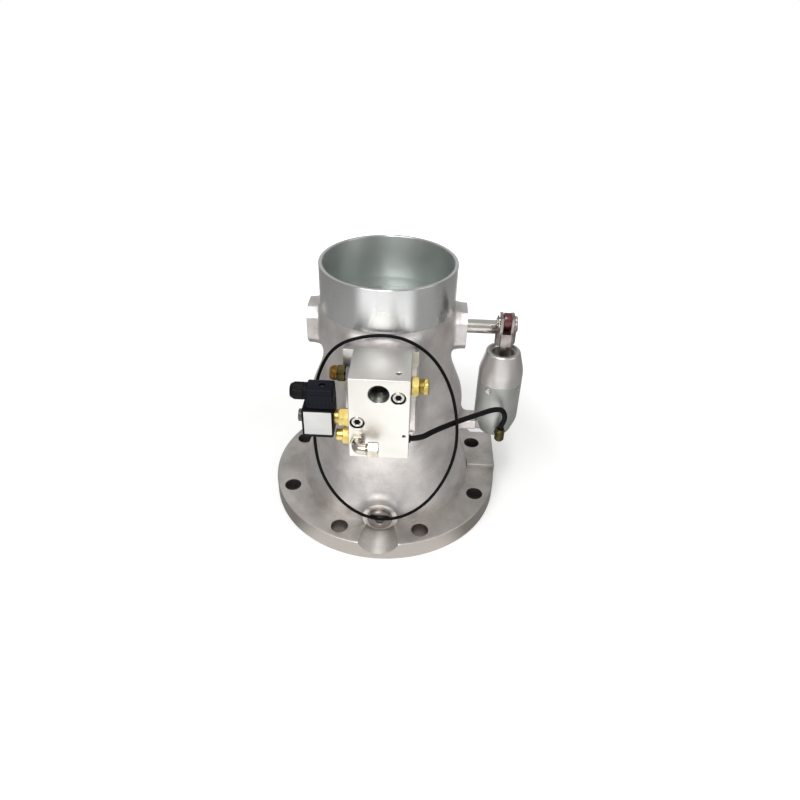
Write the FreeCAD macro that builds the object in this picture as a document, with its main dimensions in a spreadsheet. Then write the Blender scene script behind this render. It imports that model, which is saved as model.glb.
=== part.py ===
import FreeCAD, Part
import Sketcher
import math
import os
import re

# Compressor intake valve: a cast butterfly valve on a round base flange, with a control block,
# a solenoid valve and a pneumatic actuator that turns the butterfly shaft through a slotted lever.
# Millimetres. Origin: centre of the base flange's underside. +Z: up along the tube. -Y: the control block's side.

doc = FreeCAD.newDocument("intake_valve")
sheet = doc.addObject("Spreadsheet::Sheet", "Dim")

driving = {
    # base flange
    "flangeRadius": 142.5,
    "flangeThickness": 24,
    "boltCircleRadius": 125,
    "boltHoleRadius": 10,
    "boltCount": 8,
    "flangeEdgeRound": 2.5,
    "earTop": 30,
    "earFront": 2,
    "earBack": 74,
    "earInner": 94,
    "earOuter": 144,
    "earClearance": 0.5,
    "sealGrooveRadius": 97.6,
    "sealSection": 3.5,
    "sealGrooveDepth": 2.7,
    "ringCentreAcross": 4.6,
    "ringCentreHeight": 153,
    "ringHalfWidth": 79,
    "ringHalfHeight": 113,
    "ringTopBack": 80.5,
    "ringFootRise": 6.5,
    "hangingGap": 0.3,
    # cast body
    "totalHeight": 313.5,
    "spigotRadius": 76,
    "spigotWall": 4,
    "spigotLength": 49,
    "spigotEdgeRound": 0.8,
    "neckRadius": 75,
    "neckFoot": 192,
    "chamberRadius": 92,
    "chamberWall": 8.5,
    "shoulderFoot": 150,
    "skirtTop": 74,
    "skirtBulge": 105,
    "skirtBulgeHeight": 44,
    "skirtFootRadius": 107,
    "castRound": 10,
    # shaft bosses, shaft and butterfly
    "shaftHeight": 238,
    "bossRadius": 20,
    "bossRootRadius": 27,
    "collarHalf": 23,
    "collarChamfer": 10,
    "collarThickness": 11,
    "bushInset": 2.4,
    "shaftRadius": 8,
    "shaftClearance": 0.06,
    "bushWall": 3,
    "bushLength": 10,
    "shaftSealRadius": 12,
    "shaftSealLength": 5,
    "discThickness": 4,
    "discClearance": 0.3,
    "discTilt": 8,
    "discScrewRadius": 2.5,
    "discScrewSpread": 34,
    # control block and its pad
    "padTop": 255.5,
    "padFoot": 130,
    "padFootSlope": 24,
    "padLeft": 41,
    "padRight": 38,
    "padFace": 92,
    "padCornerRound": 12,
    "gasketThickness": 1,
    "blockLeft": 29,
    "blockRight": 31,
    "blockFace": 152,
    "blockFoot": 164,
    "blockTop": 258,
    "blockChamfer": 0.8,
    "portThreadRadius": 9.3,
    "portDepth": 20,
    "portHeight": 241.4,
    "blockScrewRadius": 4,
    "blockScrewHeadRadius": 6.5,
    "blockScrewHeadHeight": 8,
    "counterboreRadius": 7.4,
    "counterboreDepth": 9,
    "screwThreadDepth": 12,
    # front port in the chamber's foot
    "frontBossRadius": 20.5,
    "frontBossFace": 110,
    "frontBossHeight": 36,
    "reliefRadius": 27,
    "frontPortRadius": 10.4,
    "frontPlugCollarRadius": 14,
    "frontPlugCollar": 4,
    "frontPlugThread": 12,
    "frontWasherThickness": 1.5,
    # actuator
    "actuatorAcross": 132.5,
    "actuatorFront": 20,
    "actuatorTopDrop": 18,
    "actuatorRadius": 25.4,
    "actuatorFootRadius": 18,
    "capHeight": 37,
    "capShoulderDrop": 24,
    "barrelLength": 73,
    "taperRise": 21,
    "actuatorTopRadius": 19.2,
    "actuatorRound": 6,
    "actuatorFootRound": 3,
    "barrelBoreRadius": 17,
    "barrelFloorRise": 20,
    "recessRadius": 12.6,
    "recessDepth": 23,
    "armWidth": 26,
    "armHeight": 12,
    "armRise": 4,
    "armEnd": 108.6,
    "armPadHalf": 10,
    "studRadius": 4,
    "studLength": 14,
    "rodRadius": 4,
    "rodBushWall": 3,
    "rodBushLength": 13,
    "pistonThickness": 10,
    "pistonRestGap": 1.5,
    "springWire": 2.2,
    "springTurns": 4.5,
    "galleryRadius": 2,
    "runningClearance": 0.05,
    # fork, pin and lever
    "pinRise": 18.25,
    "pinRadius": 4,
    "forkSide": 16,
    "forkTip": 15,
    "forkSlotDepth": 20.1,
    "forkRodDepth": 6,
    "forkBaseAcross": 20,
    "forkBaseHeight": 16,
    "forkFrontDepth": 11.8,
    "forkFrontRun": 9.8,
    "forkLength": 42,
    "leverThickness": 8,
    "leverSlotGap": 0.35,
    "leverHubRadius": 9.5,
    "leverRestAngle": 44.27,
    "slotPlay": 1.2,
    "slotStart": 20,
    "slotEnd": 28.6,
    "leverEdge": 3,
    "leverFlat": 5,
    "shaftNeckRadius": 6,
    "leverNutThickness": 8,
    "leverWasherThickness": 1.6,
    # solenoid valve
    "solenoidHeight": 193.5,
    "solenoidFront": 125,
    "solenoidHex": 17,
    "brassPlugDrop": 21,
    "solenoidBaseEnd": 46,
    "coilWidth": 32,
    "coilDepth": 32,
    "coilTall": 33,
    "coilRound": 2,
    "stemRadius": 6.5,
    "stemWall": 1,
    "stemEnd": 88,
    "armatureLength": 19,
    "armatureSpringLength": 4,
    "connectorWidth": 28,
    "connectorDepth": 28,
    "connectorTall": 28,
    "connectorGasket": 1,
    "glandRadius": 9,
    "glandLength": 17,
    "labelThickness": 0.4,
    # air hose
    "hoseRadius": 3,
    "hoseStartFront": 134,
    "hoseStartHeight": 176,
    "elbowFront": 55,
    "elbowStudRise": 14,
    "elbowTopRise": 21,
}

# places that follow from the driving dimensions
following = {
    "bossReach": "spigotRadius - spigotWall + bushInset + bushLength + shaftSealLength",
    "actuatorTop": "shaftHeight - actuatorTopDrop",
    "actuatorShoulder": "actuatorTop - capShoulderDrop",
    "actuatorSeam": "actuatorTop - capHeight",
    "actuatorFoot": "actuatorSeam - barrelLength",
    "actuatorTaperTop": "actuatorFoot + taperRise",
    "barrelFloor": "actuatorFoot + barrelFloorRise",
    "pistonRestTop": "actuatorSeam - pistonRestGap",
    "pinHeight": "shaftHeight + pinRise",
    "elbowStudHeight": "actuatorFoot + elbowStudRise",
    "elbowTop": "actuatorFoot + elbowTopRise",
    "brassPlugHeight": "solenoidHeight - brassPlugDrop",
}

named = {**driving, **{alias: f"={formula}" for alias, formula in following.items()}}
for row, (alias, size) in enumerate(named.items(), 1):
    sheet.set(f"A{row}", alias)
    sheet.setAlias(f"B{row}", alias)
    sheet.set(f"B{row}", str(size))
    doc.recompute()

# lengths that follow from the driving dimensions
boreRadius = "(spigotRadius - spigotWall)"
spigotFoot = "(totalHeight - spigotLength)"
chamberBore = "(chamberRadius - chamberWall)"
blockBack = "(padFace + gasketThickness)"
bushOuter = "(shaftRadius + shaftClearance + bushWall)"
rodBushOuter = "(rodRadius + runningClearance + rodBushWall)"
coilLeft = "(solenoidBaseEnd + coilWidth)"
coilTop = "(solenoidHeight + coilTall / 2)"
coilFace = "(solenoidFront + coilDepth / 2)"
connectorFoot = f"({coilTop} + connectorGasket)"
leverRight = "(actuatorAcross + leverThickness / 2)"
leverLeft = "(actuatorAcross - leverThickness / 2)"
flareStart = f"({boreRadius} - 2)"

facing = {
    "+Z": FreeCAD.Rotation(),
    "-Z": FreeCAD.Rotation(FreeCAD.Vector(1, 0, 0), 180),
    "+X": FreeCAD.Rotation(FreeCAD.Vector(0, 1, 0), 90),
    "-X": FreeCAD.Rotation(FreeCAD.Vector(0, 1, 0), -90),
    "+Y": FreeCAD.Rotation(FreeCAD.Vector(1, 0, 0), -90),
    "-Y": FreeCAD.Rotation(FreeCAD.Vector(1, 0, 0), 90),
}
parts = []


def linked(expression):
    """The expression with each named dimension pointing at its cell."""
    return re.sub(r"[A-Za-z]\w*", lambda word: f"Dim.{word[0]}" if word[0] in named else word[0],
                  str(expression))


def value(expression):
    """The expression's value in millimetres or degrees."""
    return float(sheet.evalExpression(linked(expression).replace("Dim.", "")))


def place(item, at, towards="+Z"):
    """Puts an object at three bound coordinates with its own +Z turned towards a direction."""
    item.Placement.Rotation = facing[towards]
    for axis, expression in zip("xyz", at or ()):
        item.setExpression(f".Placement.Base.{axis}", linked(expression))
    return item


def primitive(kind, name, at, towards, sizes):
    item = doc.addObject(f"Part::{kind}", name)
    for key, expression in sizes.items():
        item.setExpression(key, linked(expression))
    return place(item, at, towards)


def cylinder(name, radius, height, at, towards="+Z"):
    return primitive("Cylinder", name, at, towards, {"Radius": radius, "Height": height})


def hexagon(name, across, height, at, towards="+Z"):
    item = primitive("Prism", name, at, towards, {"Circumradius": f"({across}) / sqrt(3)", "Height": height})
    item.Polygon = 6
    return item


def box(name, low, high):
    """A box between two corners, each given as three expressions."""
    spans = [f"({top}) - ({bottom})" for bottom, top in zip(low, high)]
    return primitive("Box", name, low, "+Z", dict(zip(("Length", "Width", "Height"), spans)))


def fuse(name, *items):
    joined = doc.addObject("Part::MultiFuse", name)
    joined.Shapes = list(items)
    joined.Refine = True
    return joined


def common(name, *items):
    shared = doc.addObject("Part::MultiCommon", name)
    shared.Shapes = list(items)
    return shared


def cut(name, base, *tools):
    trimmed = doc.addObject("Part::Cut", name)
    trimmed.Base = base
    trimmed.Tool = tools[0] if len(tools) == 1 else fuse(f"{name}_cutters", *tools)
    trimmed.Refine = True
    return trimmed


def group(name, *items):
    """Identical fasteners kept together as separate solids."""
    together = doc.addObject("Part::Compound", name)
    together.Links = list(items)
    return together


def finished(node, item):
    """Names a sub-part, whose label is its file's name."""
    item.Label = node
    parts.append(item)
    return item


def draw(sketch, corners):
    """A closed outline of straight lines whose corners are bound to the sheet; a third value rounds a corner."""
    places = [FreeCAD.Vector(value(corner[0]), value(corner[1]), 0) for corner in corners]
    count = len(corners)
    starts, ends, arcs = list(places), list(places), {}
    for index, corner in enumerate(corners):
        if len(corner) < 3:
            continue
        here = places[index]
        back = (places[index - 1] - here).normalize()
        ahead = (places[(index + 1) % count] - here).normalize()
        half, radius = back.getAngle(ahead) / 2, value(corner[2])
        ends[index] = here + back * (radius / math.tan(half))
        starts[index] = here + ahead * (radius / math.tan(half))
        centre = here + (back + ahead).normalize() * (radius / math.sin(half))
        leftward = back.cross(ahead).z < 0
        arcs[index] = (centre, radius, leftward)
    for index in range(count):
        sketch.addGeometry(Part.LineSegment(starts[index], ends[(index + 1) % count]), False)
    for index, corner in enumerate(corners):
        before, here = (index - 1) % count, (index, 1)
        if index in arcs:
            here = (round_corner(sketch, before, index, ends[index], starts[index], places[index],
                                 arcs[index],
                                 corner[2]), 1)
        else:
            sketch.addConstraint(Sketcher.Constraint("Coincident", before, 2, index, 1))
        for kind, axis, expression in (("DistanceX", -2, corner[0]), ("DistanceY", -1, corner[1])):
            if value(expression) == 0:
                sketch.addConstraint(Sketcher.Constraint("PointOnObject", *here, axis))
            else:
                bind(sketch, Sketcher.Constraint(kind, -1, 1, *here, value(expression)), expression)


def bind(sketch, constraint, expression):
    """Adds a dimension to a sketch and ties it to the sheet."""
    number = sketch.addConstraint(constraint)
    sketch.setExpression(f"Constraints[{number}]", linked(expression))


def round_corner(sketch, before, after, arriving, leaving, corner, arc, radius):
    """An arc tangent to two lines, whose corner stays as a construction point; returns the point's number."""
    centre, size, leftward = arc
    first, last = (arriving, leaving) if leftward else (leaving, arriving)
    start = math.atan2(first.y - centre.y, first.x - centre.x)
    end = math.atan2(last.y - centre.y, last.x - centre.x)
    circle = Part.Circle(centre, FreeCAD.Vector(0, 0, 1), size)
    bend = sketch.addGeometry(Part.ArcOfCircle(circle, start, end if end > start else end + 2 * math.pi),
                              False)
    tip = sketch.addGeometry(Part.Point(corner), True)
    sketch.addConstraint(Sketcher.Constraint("PointOnObject", tip, 1, before))
    sketch.addConstraint(Sketcher.Constraint("PointOnObject", tip, 1, after))
    sketch.addConstraint(Sketcher.Constraint("Tangent", before, 2, bend, 1 if leftward else 2))
    sketch.addConstraint(Sketcher.Constraint("Tangent", bend, 2 if leftward else 1, after, 1))
    bind(sketch, Sketcher.Constraint("Radius", bend, size), radius)
    return tip


def new_sketch(body, name, role):
    sketch = body.newObject("Sketcher::SketchObject", name)
    plane = next(feature for feature in body.Origin.OriginFeatures if feature.Role == role)
    sketch.AttachmentSupport = [(plane, "")]
    sketch.MapMode = "FlatFace"
    return sketch


def turned(name, corners, at=(0, 0, 0), towards="+Z"):
    """A turned body: an outline of (radius, height) corners swept round +Z."""
    body = doc.addObject("PartDesign::Body", name)
    sketch = new_sketch(body, f"{name}_profile", "XZ_Plane")
    draw(sketch, corners)
    turning = body.newObject("PartDesign::Revolution", f"{name}_turning")
    turning.Profile = sketch
    turning.ReferenceAxis = (sketch, ["V_Axis"])
    turning.Angle = 360
    return place(body, at, towards)


def extruded(name, corners, role, length, at=(0, 0, 0)):
    """A body of constant section: an outline on one of its origin planes, carried along that plane's normal."""
    body = doc.addObject("PartDesign::Body", name)
    sketch = new_sketch(body, f"{name}_profile", role)
    draw(sketch, corners)
    pad = body.newObject("PartDesign::Pad", f"{name}_pad")
    pad.Profile = sketch
    pad.setExpression("Length", linked(length))
    return place(body, at)


def rod_of(name, steps, at, towards):
    """A turned solid made of (radius, length) steps one after another."""
    corners = [(0, 0)]
    reached = "0"
    for radius, length in steps:
        corners.append((radius, reached))
        reached = f"{reached} + ({length})"
        corners.append((radius, reached))
    corners.append((0, reached))
    return turned(name, corners, at, towards)


def ring(name, inner, outer, length, at, towards="+Z"):
    corners = [(inner, 0), (outer, 0), (outer, length), (inner, length)]
    return turned(name, corners, at, towards)


def coil_spring(name, radius, wire, turns, length, at, towards="+Z"):
    """A compression spring with its wire's end faces standing on both seats."""
    pitch = (value(length) - 2 * value(wire)) / turns
    start = FreeCAD.Vector(value(radius), 0, value(wire))
    helix = Part.makeHelix(pitch, pitch * turns, value(radius))
    helix.translate(FreeCAD.Vector(0, 0, value(wire)))
    section = Part.Wire(Part.makeCircle(value(wire), start,
                                        FreeCAD.Vector(0, 1, pitch / (2 * math.pi * value(radius)))))
    spring = doc.addObject("Part::Feature", name)
    spring.Shape = Part.Wire(helix).makePipeShell([section], True, True)
    return place(spring, at, towards)


def rounded_route(name, points, closed=False):
    """Straight runs joined by tangent arcs as large as the two runs at each point allow."""
    count = len(points)
    corners = range(count) if closed else range(1, count - 1)
    edges = []
    radii = []
    joints = {}
    for index in corners:
        before, here, after = points[index - 1], points[index], points[(index + 1) % count]
        inward = (here - before).normalize()
        outward = (after - here).normalize()
        turn = inward.getAngle(outward)
        reach = 0.45 * min(here.distanceToPoint(before), here.distanceToPoint(after))
        radius = reach / math.tan(turn / 2)
        radii.append(radius)
        first, last = here - inward * reach, here + outward * reach
        middle = (first + last) / 2 - here
        centre = here + middle.normalize() * (radius / math.cos(turn / 2))
        crown = centre + (here - centre).normalize() * radius
        joints[index] = (first, crown, last)
    start = joints[0][2] if closed else points[0]
    for index in list(corners)[1:] + [0] if closed else corners:
        first, crown, last = joints[index]
        edges.append(Part.LineSegment(start, first).toShape())
        edges.append(Part.Arc(first, crown, last).toShape())
        start = last
    if not closed:
        edges.append(Part.LineSegment(start, points[-1]).toShape())
    print(name, "bend radii", [round(radius, 1) for radius in radii])
    return Part.Wire(edges)


def tube(name, path, radius, closed=False):
    """A round solid along a path, with its volume set against its section times its length."""
    start = path.Edges[0]
    section = Part.Wire(Part.makeCircle(radius, start.Vertexes[0].Point,
                                        start.tangentAt(start.FirstParameter)))
    shape = path.makePipe(Part.Face(section)) if closed else path.makePipeShell([section], True, False)
    if shape.ShapeType != "Solid":
        shape = shape.Solids[0] if shape.Solids else Part.makeSolid(shape)
    expected = math.pi * radius ** 2 * path.Length
    print(name, "length", round(path.Length, 1), "volume over expected", round(shape.Volume / expected, 4))
    item = doc.addObject("Part::Feature", name)
    item.Shape = shape
    item.Placement = FreeCAD.Placement()
    return item


def make_body():
    """The cast body: chamber, neck, shaft bosses, control block's pad, front boss and the actuator's arm."""
    cast = turned("cast_outside", [
        (0, "flangeThickness"), ("skirtFootRadius", "flangeThickness"),
        ("skirtBulge", "skirtBulgeHeight", "castRound"),
        ("chamberRadius", "skirtTop", "castRound"), ("chamberRadius", "shoulderFoot", "castRound"),
        ("neckRadius", "neckFoot", "castRound"), ("neckRadius", spigotFoot), (0, spigotFoot)])
    flare_end = "(bossReach - collarThickness)"
    boss = turned("shaft_boss", [
        (0, "-bossReach"), ("bossRadius", "-bossReach"), ("bossRadius", f"-{flare_end}"),
        ("bossRootRadius", f"-{flareStart}"), ("bossRootRadius", flareStart), ("bossRadius", flare_end),
        ("bossRadius", "bossReach"), (0, "bossReach")], (0, 0, "shaftHeight"), "+X")
    collars = [extruded(f"boss_collar{number}", collar_corners(), "YZ_Plane", "collarThickness",
                        (start, 0, 0))
               for number, start in enumerate(("-bossReach", flare_end))]
    pad = doc.addObject("Part::Fillet", "block_pad")
    pad.Base = extruded("block_pad_stock", [
        ("-padFace", "padFoot + padFootSlope"), ("-padFace", "padTop"), ("-padFace / 2", "padTop"),
        ("-padFace / 2", "padFoot"), ("-padFace + padFootSlope / 2", "padFoot")],
        "YZ_Plane", "padLeft + padRight", ("-padLeft", 0, 0))
    doc.recompute()
    upright = [count for count, edge in enumerate(pad.Base.Shape.Edges, 1) if is_pad_corner(edge)]
    pad.Edges = [(count, value("padCornerRound"), value("padCornerRound")) for count in upright]
    arm = box("actuator_arm", (f"{chamberBore} - 4", "-actuatorFront - armWidth / 2",
                               "actuatorFoot + armRise"),
              ("armEnd", "-actuatorFront + armWidth / 2", "actuatorFoot + armRise + armHeight"))
    front_boss = cylinder("front_boss", "frontBossRadius", f"frontBossFace - {chamberBore} + 2",
                          (0, f"-{chamberBore} + 2", "frontBossHeight"), "-Y")
    above_flange = box("above_flange", ("-frontBossRadius - 1", "-frontBossFace - 1", "flangeThickness"),
                       ("frontBossRadius + 1", 0, "frontBossHeight + frontBossRadius + 1"))
    stock = fuse("cast_stock", cast, boss, *collars, pad, arm,
                 common("front_boss_seen", front_boss, above_flange))
    shaft_bore = cylinder("bush_bore", bushOuter, "2 * bossReach + 2", ("-bossReach - 1", 0, "shaftHeight"),
                          "+X")
    seal_bore = cylinder("seal_bore", "shaftSealRadius", "shaftSealLength + 1",
                         ("bossReach - shaftSealLength", 0, "shaftHeight"), "+X")
    cap_bore = cylinder("cap_bore", "shaftSealRadius", "shaftSealLength + 1",
                        ("-bossReach + shaftSealLength", 0, "shaftHeight"), "-X")
    port_bore = cylinder("port_bore", "frontPortRadius", "flangeRadius", (0, 0, "frontBossHeight"), "-Y")
    stud_bore = cylinder("arm_stud_bore", "studRadius", "studLength",
                         ("armEnd - studLength / 2", "-actuatorFront",
                          "actuatorFoot + armRise + armHeight / 2"), "+X")
    taps = [cylinder(f"pad_tap{number}", "blockScrewRadius", "screwThreadDepth + 1",
                     (across, "-padFace + screwThreadDepth", height), "-Y")
            for number, (across, height) in enumerate(block_screw_places)]
    finished("valve_body", cut("valve_body_cut", stock, cast_inside("valve_body"), shaft_bore, seal_bore,
                               cap_bore, port_bore, stud_bore, *taps))


def cast_inside(name):
    """The room inside: the chamber, the shoulder and the bore up to the inlet."""
    return turned(f"{name}_inside", [
        (0, -1), (chamberBore, -1), (chamberBore, "shoulderFoot + 4", "castRound"),
        (boreRadius, "neckFoot + 4", "castRound"), (boreRadius, "totalHeight + 1"), (0, "totalHeight + 1")])


def collar_corners():
    """The outline of a shaft boss's collar: a square with chamfered corners round the shaft."""
    short = "(collarHalf - collarChamfer)"
    return [(across, f"shaftHeight + {height}") for across, height in (
        ("collarHalf", f"-{short}"), ("collarHalf", short), (short, "collarHalf"),
        (f"-{short}", "collarHalf"),
        ("-collarHalf", short), ("-collarHalf", f"-{short}"), (f"-{short}", "-collarHalf"),
        (short, "-collarHalf"))]


def make_flange():
    """The base flange with its bolt holes, ear, sealing groove and the scallop in front of the port."""
    plate = turned("flange_plate", [
        (chamberBore, 0), ("flangeRadius", 0), ("flangeRadius", "flangeThickness", "flangeEdgeRound"),
        (chamberBore, "flangeThickness")])
    ear = box("flange_ear", ("earInner", "earFront", 0), ("earOuter", "earBack", "earTop"))
    skirt = cylinder("flange_skirt_room", "skirtFootRadius + earClearance", "earTop",
                     (0, 0, "flangeThickness"))
    reach = "(flangeRadius - frontBossFace)"
    scallop = turned("flange_scallop", [
        (0, 0), ("frontBossRadius", 0), ("reliefRadius", reach), ("reliefRadius", "flangeRadius"),
        (0, "flangeRadius")],
        (0, "-frontBossFace", "frontBossHeight"), "-Y")
    groove = ring("seal_groove", "sealGrooveRadius - sealSection * 0.6",
                  "sealGrooveRadius + sealSection * 0.6",
                  "sealGrooveDepth + 1", (0, 0, -1))
    finished("flange_ring", cut("flange_cut", fuse("flange_stock", plate, ear), skirt, scallop, groove,
                                *flange_holes()))


def make_spigot():
    """The machined inlet spigot that takes the intake hose."""
    finished("spigot_ring", turned("spigot_turned", [
        (boreRadius, spigotFoot), ("spigotRadius", spigotFoot),
        ("spigotRadius", "totalHeight", "spigotEdgeRound"),
        (boreRadius, "totalHeight")]))


def is_pad_corner(edge):
    """Whether an edge of the pad's block is one of its two upper corners, which run back from the face."""
    first, last = (vertex.Point for vertex in edge.Vertexes)
    along_y = abs(first.x - last.x) < 1e-6 and abs(first.z - last.z) < 1e-6
    return along_y and abs(first.z - value("padTop")) < 1e-6


def flange_holes():
    """The flange's bolt holes, the first pair either side of the front."""
    holes = []
    for number in range(int(value("boltCount"))):
        angle = f"(360 / boltCount * ({number} + 0.5) - 90)"
        holes.append(cylinder(f"flange_hole{number}", "boltHoleRadius", "earTop + 2",
                              (f"boltCircleRadius * cos({angle} * 1deg)",
                               f"boltCircleRadius * sin({angle} * 1deg)", -1)))
    return holes


block_screw_places = ((19.7, 237.8), (-20.4, 206.7))


def make_shaft_fittings():
    """Bushes, lip seal and core plug in the two bosses."""
    bush_start = f"{boreRadius} + bushInset"
    finished("left_shaft_bush", ring("left_bush", "shaftRadius + shaftClearance", bushOuter, "bushLength",
                                     (f"-({bush_start})", 0, "shaftHeight"), "-X"))
    finished("right_shaft_bush", ring("right_bush", "shaftRadius + shaftClearance", bushOuter, "bushLength",
                                      (bush_start, 0, "shaftHeight"), "+X"))
    finished("shaft_lip_seal", ring("lip_seal", "shaftRadius + shaftClearance", "shaftSealRadius",
                                    "shaftSealLength",
                                    ("bossReach - shaftSealLength", 0, "shaftHeight"), "+X"))
    finished("boss_core_plug", turned("core_plug", [
        (0, 1), ("shaftSealRadius - 2", 1), ("shaftSealRadius - 2", 0), ("shaftSealRadius", 0),
        ("shaftSealRadius", "shaftSealLength"), (0, "shaftSealLength")],
        ("-bossReach + shaftSealLength", 0, "shaftHeight"), "-X"))


def make_front_plug():
    """The chamber's screw plug with its sealing washer."""
    washer = ring("plug_washer", "frontPortRadius", "frontPlugCollarRadius + 1", "frontWasherThickness",
                  (0, "-frontBossFace", "frontBossHeight"), "-Y")
    finished("front_plug_washer", washer)
    plug = rod_of("front_plug_turned", (("frontPortRadius", "frontPlugThread + frontWasherThickness"),
                                        ("frontPlugCollarRadius", "frontPlugCollar")),
                  (0, "-frontBossFace + frontPlugThread", "frontBossHeight"), "-Y")
    socket = hexagon("front_plug_socket", 10, "frontPlugCollar + 4",
                     (0, "-frontBossFace - frontWasherThickness + 4", "frontBossHeight"), "-Y")
    finished("front_plug", cut("front_plug_cut", plug, socket))


def tilted():
    """The closed butterfly's turn about the shaft."""
    return FreeCAD.Rotation(FreeCAD.Vector(1, 0, 0), value("discTilt"))


def make_butterfly():
    """Shaft, disc and the screws that clamp the disc in the shaft's slot."""
    disc_radius = f"({boreRadius} - discClearance)"
    plate = doc.addObject("Part::Box", "disc_plate")
    for key, size in (("Length", "4 * spigotRadius"), ("Width", "4 * spigotRadius"),
                      ("Height", "discThickness")):
        plate.setExpression(key, linked(size))
    turn = tilted()
    corner = turn.multVec(FreeCAD.Vector(-2 * value("spigotRadius"), -2 * value("spigotRadius"),
                                         -value("discThickness") / 2))
    plate.Placement = FreeCAD.Placement(corner + FreeCAD.Vector(0, 0, value("shaftHeight")), turn)
    swept = cylinder("disc_bore", disc_radius, "4 * spigotRadius", (0, 0, "shaftHeight - 2 * spigotRadius"))
    upward = turn.multVec(FreeCAD.Vector(0, 0, 1))
    centre = FreeCAD.Vector(0, 0, value("shaftHeight"))
    drills = []
    screws = []
    for side in (-1, 1):
        across = FreeCAD.Vector(side * value("discScrewSpread"), 0, 0)
        drill = doc.addObject("Part::Cylinder", "disc_drill")
        drill.setExpression("Radius", linked("discScrewRadius"))
        drill.setExpression("Height", linked("4 * shaftRadius"))
        drill.Placement = FreeCAD.Placement(centre + across - upward * 2 * value("shaftRadius"), turn)
        drills.append(drill)
        head_seat = value("shaftRadius") - 1
        shank = rod_of(f"disc_screw{side + 1}", (("discScrewRadius", "2 * shaftRadius - 1"),
                                                 ("discScrewRadius * 1.9", "discScrewRadius * 1.2")),
                       None, "+Z")
        shank_foot = upward * (head_seat - 2 * value("shaftRadius") + 1)
        shank.Placement = FreeCAD.Placement(centre + across + shank_foot, turn)
        screws.append(shank)
    seats = [doc.addObject("Part::Cylinder", "disc_screw_seat") for side in (-1, 1)]
    for side, seat in zip((-1, 1), seats):
        seat.setExpression("Radius", linked("discScrewRadius * 1.9"))
        seat.setExpression("Height", linked("shaftRadius"))
        across = FreeCAD.Vector(side * value("discScrewSpread"), 0, 0)
        seat.Placement = FreeCAD.Placement(centre + across + upward * (value("shaftRadius") - 1), turn)
    disc = cut("disc_cut", common("disc_stock", plate, swept), *drills)
    finished("butterfly_disc", disc)
    start = "bossReach - shaftSealLength - 0.5"
    neck_start = leverLeft
    stock = rod_of("shaft_turned", (("shaftRadius", f"{start} + {neck_start}"),
                                    ("shaftNeckRadius", "leverThickness"),
                                    ("leverFlat", "leverWasherThickness + leverNutThickness + 2")),
                   (f"-({start})", 0, "shaftHeight"), "+X")
    flats = []
    for side in (-1, 1):
        flat = doc.addObject("Part::Box", "shaft_flat")
        flat.setExpression("Length", linked("leverThickness"))
        flat.setExpression("Width", linked("2 * shaftRadius"))
        flat.setExpression("Height", linked("shaftRadius"))
        lean = lever_turn()
        local = FreeCAD.Vector(value(leverLeft), -value("shaftRadius"),
                               value("leverFlat") if side > 0 else -value("leverFlat") - value("shaftRadius"))
        flat.Placement = FreeCAD.Placement(centre + lean.multVec(local), lean)
        flats.append(flat)
    slot = common("shaft_slot", plate, swept)
    shaft = cut("shaft_cut", stock, slot, *drills, *seats, *flats)
    finished("butterfly_shaft", shaft)
    finished("disc_screws", group("disc_screw_pair", *screws))


def lever_turn():
    """The lever's turn about the shaft: its own +Y axis points away from the pin."""
    return FreeCAD.Rotation(FreeCAD.Vector(1, 0, 0), -value("leverRestAngle"))


def make_lever():
    """The slotted lever: a hub and a rounded tip joined by tangent sides, with a slot for the fork's pin."""
    tip_radius = "(pinRadius + slotPlay + leverEdge)"
    body = doc.addObject("PartDesign::Body", "lever_body")
    sketch = new_sketch(body, "lever_outline", "YZ_Plane")
    draw_link(sketch, "leverHubRadius", tip_radius, "slotEnd")
    pad = body.newObject("PartDesign::Pad", "lever_pad")
    pad.Profile = sketch
    pad.setExpression("Length", linked("leverThickness"))
    doc.recompute()
    slot = new_sketch(body, "lever_slot", "YZ_Plane")
    draw_slot(slot, "pinRadius + slotPlay", "slotStart", "slotEnd")
    pocket = body.newObject("PartDesign::Pocket", "lever_slot_pocket")
    pocket.Profile = slot
    pocket.Type = 1
    pocket.Midplane = True
    doc.recompute()
    body.Placement = FreeCAD.Placement(
        FreeCAD.Vector(value(leverLeft), 0, value("shaftHeight")), lever_turn())
    bore = cylinder("lever_bore", "shaftNeckRadius", "leverThickness + 2",
                    (f"{leverLeft} - 1", 0, "shaftHeight"), "+X")
    across = box("lever_bore_flats", (0, 0, 0), ("leverThickness + 2", "2 * shaftRadius", "2 * leverFlat"))
    for axis in "xyz":
        across.setExpression(f".Placement.Base.{axis}", None)
    lean = lever_turn()
    local = FreeCAD.Vector(value(leverLeft) - 1, -value("shaftRadius"), -value("leverFlat"))
    across.Placement = FreeCAD.Placement(FreeCAD.Vector(0, 0, value("shaftHeight")) + lean.multVec(local),
                                         lean)
    finished("slotted_lever", cut("lever_cut", body, common("lever_bore_double_d", bore, across)))
    finished("lever_washer", ring("lever_washer_ring", "leverFlat", "leverHubRadius - 1",
                                  "leverWasherThickness",
                                  (leverRight, 0, "shaftHeight"), "+X"))
    nut = hexagon("lever_nut_hex", "leverFlat * 3.4", "leverNutThickness",
                  (f"{leverRight} + leverWasherThickness", 0, "shaftHeight"), "+X")
    thread = cylinder("lever_nut_thread", "leverFlat", "leverNutThickness + 2",
                      (f"{leverRight} + leverWasherThickness - 1", 0, "shaftHeight"), "+X")
    finished("lever_nut", cut("lever_nut_cut", nut, thread))


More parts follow.
